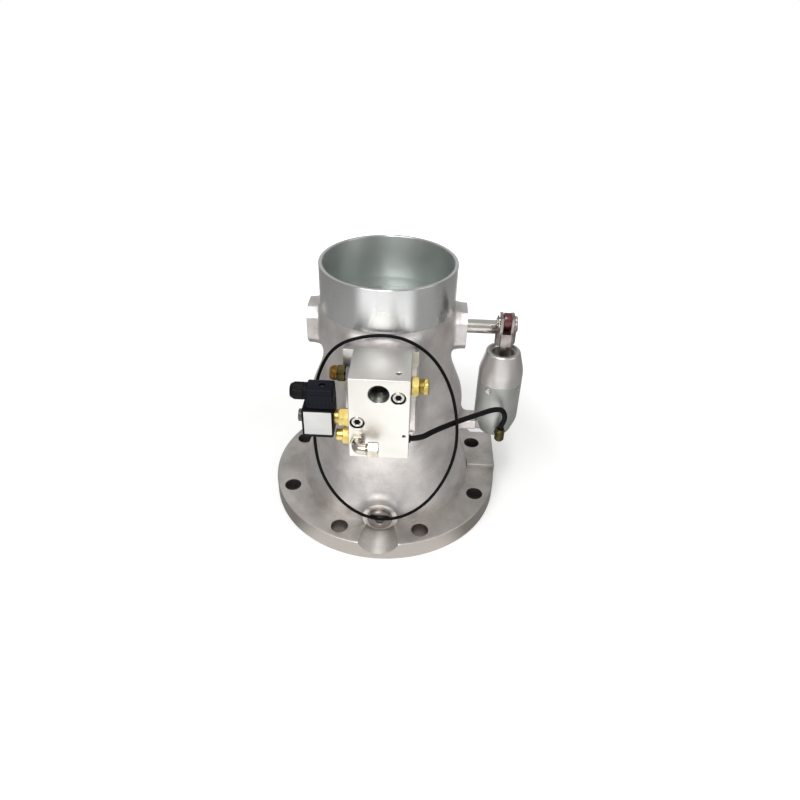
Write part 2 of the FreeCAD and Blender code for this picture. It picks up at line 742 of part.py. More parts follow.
def draw_link(sketch, hub, tip, reach):
    """Two arcs joined by their common tangents; the tip lies along the sketch's -X."""
    big, small, span = value(hub), value(tip), value(reach)
    lean = math.acos((big - small) / span)
    up = FreeCAD.Vector(0, 0, 1)
    centre = FreeCAD.Vector(0, 0, 0)
    far = FreeCAD.Vector(-span, 0, 0)
    direction = math.pi - lean
    high = FreeCAD.Vector(math.cos(direction), math.sin(direction), 0)
    low = FreeCAD.Vector(math.cos(direction), -math.sin(direction), 0)
    sketch.addGeometry(Part.ArcOfCircle(Part.Circle(centre, up, big), -direction, direction), False)
    sketch.addGeometry(Part.LineSegment(high * big, far + high * small), False)
    sketch.addGeometry(Part.ArcOfCircle(Part.Circle(far, up, small), direction, 2 * math.pi - direction),
                       False)
    sketch.addGeometry(Part.LineSegment(far + low * small, low * big), False)
    sketch.addConstraint(Sketcher.Constraint("Coincident", 0, 3, -1, 1))
    sketch.addConstraint(Sketcher.Constraint("PointOnObject", 2, 3, -1))
    sketch.addConstraint(Sketcher.Constraint("Tangent", 0, 2, 1, 1))
    sketch.addConstraint(Sketcher.Constraint("Tangent", 1, 2, 2, 1))
    sketch.addConstraint(Sketcher.Constraint("Tangent", 2, 2, 3, 1))
    sketch.addConstraint(Sketcher.Constraint("Tangent", 3, 2, 0, 1))
    for kind, places, expression in (("Radius", (0,), hub), ("Radius", (2,), tip),
                                     ("DistanceX", (2, 3, -1, 1), reach)):
        number = sketch.addConstraint(Sketcher.Constraint(kind, *places, value(expression)))
        sketch.setExpression(f"Constraints[{number}]", linked(expression))


def draw_slot(sketch, radius, near, far):
    """A slot with round ends along the sketch's -X."""
    wide, start, end = value(radius), value(near), value(far)
    up = FreeCAD.Vector(0, 0, 1)
    first, last = FreeCAD.Vector(-start, 0, 0), FreeCAD.Vector(-end, 0, 0)
    side = FreeCAD.Vector(0, wide, 0)
    sketch.addGeometry(Part.ArcOfCircle(Part.Circle(first, up, wide), -math.pi / 2, math.pi / 2), False)
    sketch.addGeometry(Part.LineSegment(first + side, last + side), False)
    sketch.addGeometry(Part.ArcOfCircle(Part.Circle(last, up, wide), math.pi / 2, 3 * math.pi / 2), False)
    sketch.addGeometry(Part.LineSegment(last - side, first - side), False)
    sketch.addConstraint(Sketcher.Constraint("PointOnObject", 0, 3, -1))
    sketch.addConstraint(Sketcher.Constraint("PointOnObject", 2, 3, -1))
    sketch.addConstraint(Sketcher.Constraint("Tangent", 0, 2, 1, 1))
    sketch.addConstraint(Sketcher.Constraint("Tangent", 1, 2, 2, 1))
    sketch.addConstraint(Sketcher.Constraint("Tangent", 2, 2, 3, 1))
    sketch.addConstraint(Sketcher.Constraint("Tangent", 3, 2, 0, 1))
    for kind, places, expression in (("Radius", (0,), radius), ("DistanceX", (0, 3, -1, 1), near),
                                     ("DistanceX", (2, 3, -1, 1), far)):
        number = sketch.addConstraint(Sketcher.Constraint(kind, *places, value(expression)))
        sketch.setExpression(f"Constraints[{number}]", linked(expression))


def make_block():
    """The control block with its ports, gasket and two long socket screws."""
    stock = doc.addObject("Part::Chamfer", "block_stock")
    stock.Base = box("block_billet", ("-blockLeft", "-blockFace", "blockFoot"),
                     ("blockRight", f"-{blockBack}", "blockTop"))
    doc.recompute()
    bevel = value("blockChamfer")
    stock.Edges = [(count, bevel, bevel) for count in range(1, 13)]
    tools = [cylinder("main_port", "portThreadRadius", "portDepth + 1",
                      (0.6, "-blockFace + portDepth", "portHeight"), "-Y"),
             cylinder("top_hole", 2.4, 12, (19, -138.5, "blockTop - 10")),
             cylinder("pilot_hole", 1.7, 12, (26, "-blockFace + 10", 192.5), "-Y")]
    for number, (across, height) in enumerate(block_screw_places):
        tools.append(cylinder(f"block_clear{number}", "blockScrewRadius + 0.3", "blockFace",
                              (across, 0, height), "-Y"))
        tools.append(cylinder(f"block_counterbore{number}", "counterboreRadius", "counterboreDepth + 1",
                              (across, "-blockFace + counterboreDepth", height), "-Y"))
    for number, (radius, depth, at, towards) in enumerate(block_threads):
        tools.append(cylinder(f"block_thread{number}", radius, f"{depth} + 1", at, towards))
    finished("control_block", cut("block_cut", stock, *tools))
    sheet_stock = box("gasket_sheet", ("-blockLeft", f"-{blockBack}", "blockFoot"),
                      ("blockRight", "-padFace", "padTop - padCornerRound"))
    clears = [cylinder(f"gasket_clear{number}", "blockScrewRadius + 0.3", "blockFace", (across, 0, height),
                       "-Y")
              for number, (across, height) in enumerate(block_screw_places)]
    finished("block_gasket", cut("gasket_cut", sheet_stock, *clears))
    screws = []
    for number, (across, height) in enumerate(block_screw_places):
        shank = "blockFace - counterboreDepth - padFace + screwThreadDepth"
        screw = rod_of(f"block_screw{number}", (("blockScrewRadius", shank),
                                                ("blockScrewHeadRadius", "blockScrewHeadHeight")),
                       (across, "-padFace + screwThreadDepth", height), "-Y")
        socket = hexagon(f"block_screw_socket{number}", 6, "blockScrewHeadHeight",
                         (across, "-blockFace + counterboreDepth - blockScrewHeadHeight / 2", height), "-Y")
        screws.append(cut(f"block_screw_cut{number}", screw, socket))
    finished("block_screws", group("block_screw_pair", *screws))


silencer_at = ("-blockLeft", -101.8, 232)
plug_at = ("-blockLeft", -128, "brassPlugHeight")
fitting_at = ("blockRight", -120, 232)
elbow_at = (-20, "-blockFace", 185.5)
hose_at = ("blockRight", "-hoseStartFront", "hoseStartHeight")
solenoid_at = ("-blockLeft", "-solenoidFront", "solenoidHeight")


def set_in(at, axis, depth):
    """A port's place moved a depth into the block."""
    moved = list(at)
    moved[axis] = f"{moved[axis]} + ({depth})"
    return tuple(moved)


block_threads = [
    (5, 9, set_in(silencer_at, 0, 9), "-X"),
    (6, 9, set_in(plug_at, 0, 9), "-X"),
    (6, 6, set_in(fitting_at, 0, -6), "+X"),
    (5, 8, set_in(elbow_at, 1, 8), "-Y"),
    (4.5, 7, set_in(hose_at, 0, -7), "+X"),
    (6.5, 10, set_in(solenoid_at, 0, 10), "-X"),
]


def make_block_fittings():
    """Silencer, plug, test fitting, elbow and hose collar screwed into the block."""
    adaptor_thread = cylinder("adaptor_thread", 5, 9.5, set_in(silencer_at, 0, 9), "-X")
    adaptor_hex = hexagon("adaptor_hex", 14, 7, set_in(silencer_at, 0, -0.5), "-X")
    adaptor_bridge = cylinder("adaptor_bridge", 5, 3, set_in(silencer_at, 0, 1), "-X")
    adaptor = fuse("adaptor_stock", adaptor_thread, adaptor_hex, adaptor_bridge)
    finished("silencer_adaptor", adaptor)
    finished("silencer", turned("silencer_turned", [
        (0, 0), (5.5, 0), (5.5, 2), (8.5, 2), (8.5, 12), (6, 17, 1.5), (0, 17)],
        set_in(silencer_at, 0, -7.5), "-X"))
    plug_thread = cylinder("brass_plug_thread", 6, 9, set_in(plug_at, 0, 9), "-X")
    plug_hex = hexagon("brass_plug_hex", 17, 9, plug_at, "-X")
    plug_nose = cylinder("brass_plug_nose", 6.5, 16, plug_at, "-X")
    finished("brass_plug", fuse("brass_plug_stock", plug_thread, plug_hex, plug_nose))
    fitting_thread = cylinder("fitting_thread", 6, 6, set_in(fitting_at, 0, -6), "+X")
    fitting_hex = hexagon("fitting_hex", 19, 8, fitting_at, "+X")
    fitting_nose = turned("fitting_nose", [(0, 0), (7, 0), (7, 12), (8.5, 13), (8.5, 17), (7, 18.5),
                                          (0, 18.5)],
                          fitting_at, "+X")
    fitting_hole = cylinder("fitting_hole", 3, 20, set_in(fitting_at, 0, 10), "+X")
    finished("test_fitting", cut("fitting_cut", fuse("fitting_stock", fitting_thread, fitting_hex, fitting_nose),
                                 fitting_hole))
    stub = cylinder("elbow_thread", 5, 8, set_in(elbow_at, 1, 8), "-Y")
    root = hexagon("elbow_hex", 13, 5, elbow_at, "-Y")
    leg = cylinder("elbow_leg", 5.5, 14, elbow_at, "-Y")
    knee = primitive("Sphere", "elbow_knee", set_in(elbow_at, 1, -14), "+Z", {"Radius": 5.5})
    run = cylinder("elbow_run", 5.5, 11, set_in(elbow_at, 1, -14), "+X")
    bore = cylinder("elbow_bore", 3, 30, set_in(elbow_at, 1, -14), "+X")
    finished("elbow_fitting", cut("elbow_cut", fuse("elbow_stock", stub, root, leg, knee, run), bore))
    nut_at = set_in(set_in(elbow_at, 1, -14), 0, 11)
    nut = hexagon("elbow_nut_hex", 14, 11, nut_at, "+X")
    nut_bore = cylinder("elbow_nut_bore", 3, 20, nut_at, "+X")
    finished("elbow_nut", cut("elbow_nut_cut", nut, nut_bore))
    collar = turned("hose_collar_turned", [
        ("hoseRadius", -7), (4.5, -7), (4.5, 0), (6.5, 0), (6.5, 3), ("hoseRadius + 1", 4),
        ("hoseRadius", 4)],
        hose_at, "+X")
    finished("hose_collar", collar)


def make_solenoid():
    """Direct-acting solenoid valve: brass base, stem, armature, coil and plug connector."""
    reach = "(solenoidBaseEnd - blockLeft)"
    thread = cylinder("solenoid_thread", 6.5, 10, set_in(solenoid_at, 0, 10), "-X")
    nut = hexagon("solenoid_hex", "solenoidHex", f"{reach} - 4", solenoid_at, "-X")
    neck = cylinder("solenoid_neck", "solenoidHex / 2 - 1", reach, solenoid_at, "-X")
    bore = cylinder("solenoid_bore", "stemRadius", "solenoidHex",
                    ("-solenoidBaseEnd + 8", "-solenoidFront", "solenoidHeight"), "-X")
    air_way = cylinder("solenoid_air_way", 2, 60, set_in(solenoid_at, 0, 12), "-X")
    finished("solenoid_base", cut("solenoid_base_cut", fuse("solenoid_base_stock", thread, nut, neck), bore,
                                  air_way))
    start = "(-solenoidBaseEnd + 8)"
    stem = "(stemEnd - solenoidBaseEnd + 8)"
    cavity = "armatureLength + armatureSpringLength + 6"
    finished("solenoid_stem", turned("stem_turned", [
        ("stemRadius - stemWall", 0), ("stemRadius", 0), ("stemRadius", stem), (0, stem), (0, cavity),
        ("stemRadius - stemWall", cavity)], (start, "-solenoidFront", "solenoidHeight"), "-X"))
    finished("armature", turned("armature_turned", [
        (0, 0), ("stemRadius - stemWall - runningClearance", 0),
        ("stemRadius - stemWall - runningClearance", "armatureLength"), (0, "armatureLength")],
        (f"{start} - 5.5", "-solenoidFront", "solenoidHeight"), "-X"))
    finished("armature_spring", coil_spring("armature_spring_coil", "stemRadius - stemWall - 1.5", 0.45, 2.5,
             "armatureSpringLength", (f"{start} - 5.75 - armatureLength", "-solenoidFront", "solenoidHeight"),
                                            "-X"))
    coil = doc.addObject("Part::Fillet", "coil_shell")
    coil.Base = box("coil_block", (f"-{coilLeft}", f"-{coilFace}", "solenoidHeight - coilTall / 2"),
                    ("-solenoidBaseEnd", "-solenoidFront + coilDepth / 2", coilTop))
    doc.recompute()
    coil.Edges = [(count, value("coilRound"), value("coilRound")) for count in range(1, 13)]
    hole = cylinder("coil_hole", "stemRadius + 0.1", "coilWidth + 2",
                    ("-solenoidBaseEnd + 1", "-solenoidFront", "solenoidHeight"), "-X")
    finished("coil", cut("coil_cut", coil, hole))
    finished("coil_label", box("coil_label_plate",
             (f"-{coilLeft} + coilRound", f"-{coilFace} - labelThickness",
              "solenoidHeight - coilTall / 2 + coilRound"),
             ("-solenoidBaseEnd - coilRound", f"-{coilFace}", f"{coilTop} - coilRound")))
    nut_stock = rod_of("coil_nut_turned", ((8.5, 1.5), (7, "stemEnd - solenoidBaseEnd - coilWidth")),
                       (f"-{coilLeft}", "-solenoidFront", "solenoidHeight"), "-X")
    nut_bore = cylinder("coil_nut_bore", "stemRadius", 40,
                        (f"-{coilLeft} + 1", "-solenoidFront", "solenoidHeight"), "-X")
    nut_bore.setExpression("Height", linked(f"stemEnd - {coilLeft} + 1"))
    finished("coil_nut", cut("coil_nut_cut", nut_stock, nut_bore))
    make_connector()


def make_connector():
    """Rectangular plug connector with its flat gasket, centre screw and cable gland."""
    middle = "(solenoidBaseEnd + coilWidth / 2 - 2)"
    low = (f"-{middle} - connectorWidth / 2", "-solenoidFront - connectorDepth / 2")
    high = (f"-{middle} + connectorWidth / 2", "-solenoidFront + connectorDepth / 2")
    finished("connector_gasket", box("connector_gasket_sheet", (*low, coilTop), (*high, connectorFoot)))
    housing = doc.addObject("Part::Fillet", "connector_shell")
    housing.Base = box("connector_block", (*low, connectorFoot), (*high, f"{connectorFoot} + connectorTall"))
    doc.recompute()
    housing.Edges = [(count, 1.5, 1.5) for count in range(1, 13)]
    screw_at = (f"-{middle} + 3", "-solenoidFront")
    bore = cylinder("connector_screw_bore", 3.2, 10, (*screw_at, f"{connectorFoot} + connectorTall - 5"))
    gland_height = f"({connectorFoot} + connectorTall - glandRadius - 1.5)"
    gland_at = (f"-{middle} - connectorWidth / 2", "-solenoidFront", gland_height)
    entry = cylinder("connector_entry", "glandRadius - 2.5", 7, set_in(gland_at, 0, 6), "-X")
    finished("connector_housing", cut("connector_cut", housing, bore, entry))
    screw = cylinder("connector_screw_head", 3, 3.5, (*screw_at, f"{connectorFoot} + connectorTall - 5"))
    slot = box("connector_screw_slot", (f"-{middle}", "-solenoidFront - 0.4",
                                        f"{connectorFoot} + connectorTall - 2.3"),
               (f"-{middle} + 6", "-solenoidFront + 0.4", f"{connectorFoot} + connectorTall"))
    finished("connector_screw", cut("connector_screw_cut", screw, slot))
    finished("cable_gland", turned("gland_turned", [
        (4, -6), ("glandRadius - 2.5", -6), ("glandRadius - 2.5", 0), ("glandRadius", 0),
        ("glandRadius", "glandLength - 3"), ("glandRadius - 2", "glandLength"), (4, "glandLength")],
        gland_at, "-X"))


def make_actuator():
    """Single-acting air cylinder: barrel and cap with a flush seam, piston, rod and return spring."""
    foot = ("actuatorAcross", "-actuatorFront", 0)
    barrel = turned("barrel_turned", [
        (0, "actuatorFoot"), ("actuatorFootRadius", "actuatorFoot", "actuatorFootRound"),
        ("actuatorRadius", "actuatorTaperTop", "actuatorRound"), ("actuatorRadius", "actuatorSeam"),
        ("barrelBoreRadius", "actuatorSeam"), ("barrelBoreRadius", "barrelFloor"), (0, "barrelFloor")], foot)
    barrel = fuse("barrel_with_pad", barrel, box("barrel_pad", (
        "armEnd", "-actuatorFront - armPadHalf", "actuatorFoot + armRise"),
        ("actuatorAcross - barrelBoreRadius + 4", "-actuatorFront + armPadHalf",
         "actuatorFoot + armRise + armHeight")))
    bolt_bore = cylinder("barrel_bolt_bore", "studRadius", "studLength / 2",
                         ("armEnd", "-actuatorFront", "actuatorFoot + armRise + armHeight / 2"), "+X")
    stud_bore = cylinder("barrel_stud_bore", 4, 20,
                         ("actuatorAcross + 3", "-actuatorFront - barrelBoreRadius - 1.5",
                                                     "elbowStudHeight"), "-Y")
    gallery = cylinder("barrel_gallery", "galleryRadius", "actuatorSeam - elbowStudHeight - 1",
                       ("actuatorAcross + 3", "-actuatorFront - barrelBoreRadius - 4.2", "elbowStudHeight"))
    cross = cylinder("barrel_cross_bore", "galleryRadius - 0.5", 8,
                     ("actuatorAcross + 3", "-actuatorFront - barrelBoreRadius - 4.2", "actuatorSeam - 2.5"),
                     "+Y")
    vent_turn = FreeCAD.Rotation(FreeCAD.Vector(0, 0, 1), -125.5 + 90)
    vent_bore = cylinder("barrel_vent_bore", 2.5, 8, None)
    outward = vent_turn.multVec(FreeCAD.Vector(0, -1, 0))
    base = FreeCAD.Vector(value("actuatorAcross"), -value("actuatorFront"), value("actuatorSeam") - 7)
    lean = vent_turn.multiply(facing["-Y"])
    vent_at = base + outward * (value("actuatorRadius") - 5)
    vent_bore.Placement = FreeCAD.Placement(vent_at, lean)
    finished("actuator_barrel", cut("barrel_cut", barrel, bolt_bore, stud_bore, gallery, cross, vent_bore))
    screw = rod_of("vent_screw_turned", ((2.5, 5), (4, 3)), None, "+Z")
    screw.Placement = FreeCAD.Placement(vent_at, lean)
    finished("vent_screw", screw)
    cap = turned("cap_turned", [
        (rodBushOuter, "actuatorSeam"), ("actuatorRadius", "actuatorSeam"),
        ("actuatorRadius", "actuatorShoulder", "actuatorRound"),
        ("actuatorTopRadius", "actuatorTop"), ("recessRadius + 2", "actuatorTop"),
        ("recessRadius", "actuatorTop - 3"), ("recessRadius", "actuatorTop - recessDepth"),
        (rodBushOuter, "actuatorTop - recessDepth")], foot)
    finished("actuator_cap", cap)
    finished("rod_bush", ring("rod_bush_ring", "rodRadius + runningClearance", rodBushOuter, "rodBushLength",
                              ("actuatorAcross", "-actuatorFront",
                               "actuatorTop - recessDepth - rodBushLength")))
    make_piston()
    finished("actuator_stud", cylinder("actuator_stud_bar", "studRadius", "studLength", (
        "armEnd - studLength / 2", "-actuatorFront", "actuatorFoot + armRise + armHeight / 2"), "+X"))


def make_piston():
    """Piston with its ring seal, rod, lock nut and the return spring below it."""
    axis = ("actuatorAcross", "-actuatorFront")
    low = "(pistonRestTop - pistonThickness)"
    piston_radius = "(barrelBoreRadius - runningClearance)"
    finished("piston", turned("piston_turned", [
        (0, 0), (piston_radius, 0), (piston_radius, 3.5), (f"{piston_radius} - 3", 3.5),
        (f"{piston_radius} - 3", 7),
        (piston_radius, 7), (piston_radius, "pistonThickness"), ("rodRadius", "pistonThickness"),
        ("rodRadius", 4), (0, 4)], (*axis, low)))
    finished("piston_seal", ring("piston_seal_ring", f"{piston_radius} - 3", piston_radius, 3.5,
                                 (*axis, f"{low} + 3.5")))
    fork_foot = "(pinHeight + forkTip - forkLength)"
    finished("piston_rod", cylinder("rod_bar", "rodRadius", f"{fork_foot} + forkRodDepth - {low} - 4",
                                    (*axis, f"{low} + 4")))
    finished("return_spring", coil_spring("return_spring_coil", "barrelBoreRadius - 3.5", "springWire / 2",
             value("springTurns"), f"{low} - barrelFloor - 0.4", (*axis, "barrelFloor + 0.2")))


def make_fork():
    """Square fork on a hexagonal base, its pin and the clip that keeps it."""
    axis = ("actuatorAcross", "-actuatorFront")
    foot = "(pinHeight + forkTip - forkLength)"
    half = "forkSide / 2"
    bar = box("fork_bar", (f"actuatorAcross - {half}", f"-actuatorFront - {half}", foot),
              (f"actuatorAcross + {half}", f"-actuatorFront + {half}", f"{foot} + forkLength"))
    lathe = turned("fork_lathe", [
        (0, 0), ("forkSide * 0.68", 0), ("forkSide * 0.68", "forkLength - 4"),
        ("forkSide * 0.56", "forkLength"),
        (0, "forkLength")], (*axis, foot))
    base = hexagon("fork_base", "forkBaseAcross", "forkBaseHeight", (*axis, foot))
    stock = fuse("fork_stock", common("fork_block", bar, lathe), base)
    gap = "(leverThickness / 2 + leverSlotGap)"
    back = "(forkBaseAcross / 2 + 2)"
    bend = f"(-actuatorFront - {half} - 2 + forkFrontRun)"
    fall = f"(forkSlotDepth + {back} - {half})"
    slot = extruded("fork_slot", [
        (f"-actuatorFront - {back}", "pinHeight - forkFrontDepth"), (bend, "pinHeight - forkFrontDepth"),
        (f"-actuatorFront + {back}", f"pinHeight - {fall}"),
        (f"-actuatorFront + {back}", "pinHeight + forkTip + 1"),
        (f"-actuatorFront - {back}", "pinHeight + forkTip + 1")],
        "YZ_Plane", f"2 * {gap}", (f"actuatorAcross - {gap}", 0, 0))
    pin_hole = cylinder("fork_pin_hole", "pinRadius", "forkSide + 2",
                        (f"actuatorAcross - {half} - 1", "-actuatorFront", "pinHeight"), "+X")
    rod_hole = cylinder("fork_rod_hole", "rodRadius", "forkRodDepth + 1", (*axis, f"{foot} - 1"))
    finished("fork", cut("fork_cut", stock, slot, pin_hole, rod_hole))
    pin_left = f"(actuatorAcross - {half} - 4)"
    finished("fork_pin", turned("fork_pin_turned", [
        (0, 0), ("pinRadius - 0.6", 0), ("pinRadius", 0.6), ("pinRadius", 1.4), ("pinRadius - 1", 1.4),
        ("pinRadius - 1", 2.6), ("pinRadius", 2.6), ("pinRadius", "forkSide + 4"),
        ("pinRadius + 2.4", "forkSide + 4"),
        ("pinRadius + 2.4", "forkSide + 7"), (0, "forkSide + 7")], (pin_left, "-actuatorFront", "pinHeight"),
                                "+X"))
    finished("pin_clip", ring("pin_clip_ring", "pinRadius - 1", "pinRadius + 2.2", 1.2,
                              (f"{pin_left} + 1.4", "-actuatorFront", "pinHeight"), "+X"))


def make_hose():
    """The push-in elbow at the cylinder's foot and the air hose between it and the block."""
    across = "(actuatorAcross + 3)"
    stud = cylinder("hose_elbow_stud", 4, "elbowFront - actuatorFront - barrelBoreRadius - 1.5",
                    (across, "-actuatorFront - barrelBoreRadius - 1.5", "elbowStudHeight"), "-Y")
    collar = hexagon("hose_elbow_hex", 10, 3.5, (across, "-elbowFront + 9", "elbowStudHeight"), "-Y")
    socket = rod_of("hose_elbow_socket", ((5.6, "elbowTop - elbowStudHeight + 4"), (4.8, 2)),
                    (across, "-elbowFront", "elbowStudHeight - 6"), "+Z")
    mouth = cylinder("hose_elbow_mouth", "hoseRadius", 20, (across, "-elbowFront", "elbowTop - 8"))
    finished("hose_elbow", cut("hose_elbow_cut", fuse("hose_elbow_stock", stud, collar, socket), mouth))
    start = FreeCAD.Vector(value("blockRight") - 4, -value("hoseStartFront"), value("hoseStartHeight"))
    end = FreeCAD.Vector(value(across), -value("elbowFront"), value("elbowTop") - 8)
    from_start = [(18, 0, 0), (38, 24.9, -4.4), (57.4, 50.4, -13), (77.1, 63.3, -13.8)]
    from_end = [(-16.5, -6.8, 40.6), (-4.9, -2.2, 39.3), (2.1, -0.6, 32.5), (3.5, -0.2, 23.4), (0, 0, 15)]
    points = [start, *(start + FreeCAD.Vector(*step) for step in from_start),
              *(end + FreeCAD.Vector(*step) for step in from_end), end]
    finished("air_hose", tube("air_hose_tube", rounded_route("air_hose", points), value("hoseRadius")))


def make_seal_ring():
    """The flange's rubber ring, hung round the control block and the front plug."""
    outline = [(-0.235, 1.0), (-0.68, 0.896), (-0.9, 0.647), (-0.987, 0.332), (-0.997, -0.018),
               (-0.958, -0.34), (-0.819, -0.609), (-0.559, -0.852), (-0.181, -0.998), (0.222, -0.978),
               (0.599, -0.796), (0.865, -0.488), (0.997, -0.148), (0.978, 0.201), (0.853, 0.542),
               (0.587, 0.835), (0.195, 0.993)]
    foot = value("frontBossFace + frontWasherThickness + frontPlugCollar + sealSection / 2 + hangingGap")
    foot_height = value("frontBossHeight + ringFootRise")
    lean = (foot - value("ringTopBack")) / (value("ringCentreHeight + ringHalfHeight") - foot_height)
    points = []
    for across, upward in outline:
        height = value("ringCentreHeight") + upward * value("ringHalfHeight")
        forward = foot - (height - foot_height) * lean
        points.append(FreeCAD.Vector(value("ringCentreAcross") + across * value("ringHalfWidth"), -forward,
                                     height))
    path = rounded_route("flange_seal_ring", points, closed=True)
    finished("flange_seal_ring", tube("flange_seal_tube", path, value("sealSection") / 2, closed=True))


make_body()
make_flange()
make_spigot()
make_shaft_fittings()
make_front_plug()
make_butterfly()
make_lever()
make_block()
make_block_fittings()
make_solenoid()
make_actuator()
make_fork()
make_hose()
make_seal_ring()

doc.recompute()
for item in doc.Objects:
    if "Invalid" in item.State or "Error" in item.State:
        raise RuntimeError(f"{item.Label} failed: {item.State}")
for item in parts:
    if item.Shape.isNull() or not item.Shape.isValid():
        raise RuntimeError(f"{item.Label} has no valid shape")

os.makedirs("parts", exist_ok=True)
for item in parts:
    item.Shape.exportStep(f"parts/{item.Label}.step")
print(len(parts), "sub-parts,", sum(len(item.Shape.Solids) for item in parts), "solids")
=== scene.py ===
import math

import bmesh
import bpy
import numpy as np
from mathutils import Matrix, Vector, noise


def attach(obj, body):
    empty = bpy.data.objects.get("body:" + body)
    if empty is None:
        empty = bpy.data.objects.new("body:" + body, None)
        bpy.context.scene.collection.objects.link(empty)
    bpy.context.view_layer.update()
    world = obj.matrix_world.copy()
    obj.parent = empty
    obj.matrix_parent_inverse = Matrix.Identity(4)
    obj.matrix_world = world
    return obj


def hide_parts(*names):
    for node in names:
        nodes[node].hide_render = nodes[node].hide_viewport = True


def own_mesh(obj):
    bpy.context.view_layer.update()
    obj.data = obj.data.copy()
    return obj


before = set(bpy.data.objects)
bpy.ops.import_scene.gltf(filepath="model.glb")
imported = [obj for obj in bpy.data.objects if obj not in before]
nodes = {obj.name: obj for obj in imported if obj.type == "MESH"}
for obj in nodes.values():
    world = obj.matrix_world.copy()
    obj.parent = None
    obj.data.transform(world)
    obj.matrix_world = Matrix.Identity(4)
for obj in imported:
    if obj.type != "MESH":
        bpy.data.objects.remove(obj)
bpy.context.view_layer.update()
scene = bpy.context.scene
collection = scene.collection
mm = 0.001  # every size below is in millimetres, and a finished mesh is scaled by this
origin, upwards, downwards = (0, 0, 0), (0, 0, 1), (0, 0, -1)
toRight, toLeft, toFront, toBack = (1, 0, 0), (-1, 0, 0), (0, -1, 0), (0, 1, 0)


def srgb(code):
    parts = [int(code[i:i + 2], 16) / 255 for i in (1, 3, 5)]
    return tuple(c / 12.92 if c <= 0.04045 else ((c + 0.055) / 1.055) ** 2.4 for c in parts) + (1.0,)


def addNode(tree, kind, inputs=None, **settings):
    # an input is a plain value, a socket, or a node whose first output is meant
    node = tree.nodes.new(kind)
    for key, setting in settings.items():
        setattr(node, key, setting)
    for key, value in (inputs or {}).items():
        if isinstance(value, bpy.types.Node):
            value = value.outputs[0]
        if isinstance(value, bpy.types.NodeSocket):
            tree.links.new(value, node.inputs[key])
        else:
            node.inputs[key].default_value = value
    return node


# camera: the photograph's viewpoint, worked out from the rim and flange ellipses
viewpoint = {"distance": 799.4, "elevation": 35.06, "turn": -1.775, "roll": 1.649, "across": 16.45,
             "upward": -8.48, "aimHeight": 140.0, "lens": 29.19, "sensor": 36.0}


def makeCamera(v):
    rise, roll = math.radians(v["elevation"]), math.radians(v["roll"])
    right = Vector((1, 0, 0))
    back = Vector((0, -math.cos(rise), math.sin(rise)))
    up = Vector((0, math.sin(rise), math.cos(rise)))
    place = right * v["across"] + up * v["upward"] + back * v["distance"] + Vector((0, 0, v["aimHeight"]))
    axes = Matrix((right * math.cos(roll) + up * math.sin(roll),
                   up * math.cos(roll) - right * math.sin(roll), back)).transposed()
    turn = Matrix.Rotation(-math.radians(v["turn"]), 3, "Z")
    lens = bpy.data.cameras.new("camera")
    lens.lens = v["lens"]
    lens.sensor_width = v["sensor"]
    lens.clip_end = 50
    camera = bpy.data.objects.new("camera", lens)
    collection.objects.link(camera)
    camera.matrix_world = Matrix.Translation(turn @ place * mm) @ (turn @ axes).to_4x4()
    scene.camera = camera


makeCamera(viewpoint)
print("camera placed")


# finishes, each named for the real material and how its surface was made, except one for painted shade; sizes
# and bumps in millimetres
def newFinish(name, constants):
    finish = bpy.data.materials.new(name)
    finish.use_nodes = True
    tree = finish.node_tree
    tree.nodes.clear()
    shader = addNode(tree, "ShaderNodeBsdfPrincipled", constants)
    addNode(tree, "ShaderNodeOutputMaterial", {"Surface": shader})
    return finish, tree, shader, addNode(tree, "ShaderNodeTexCoord").outputs["Object"]


def linkSkin(tree, shader, colour, gloss, bumps):
    for node, output, name in ((colour, 2, "Base Color"), (gloss, 0, "Roughness"), (bumps, 0, "Normal")):
        tree.links.new(node.outputs[output], shader.inputs[name])


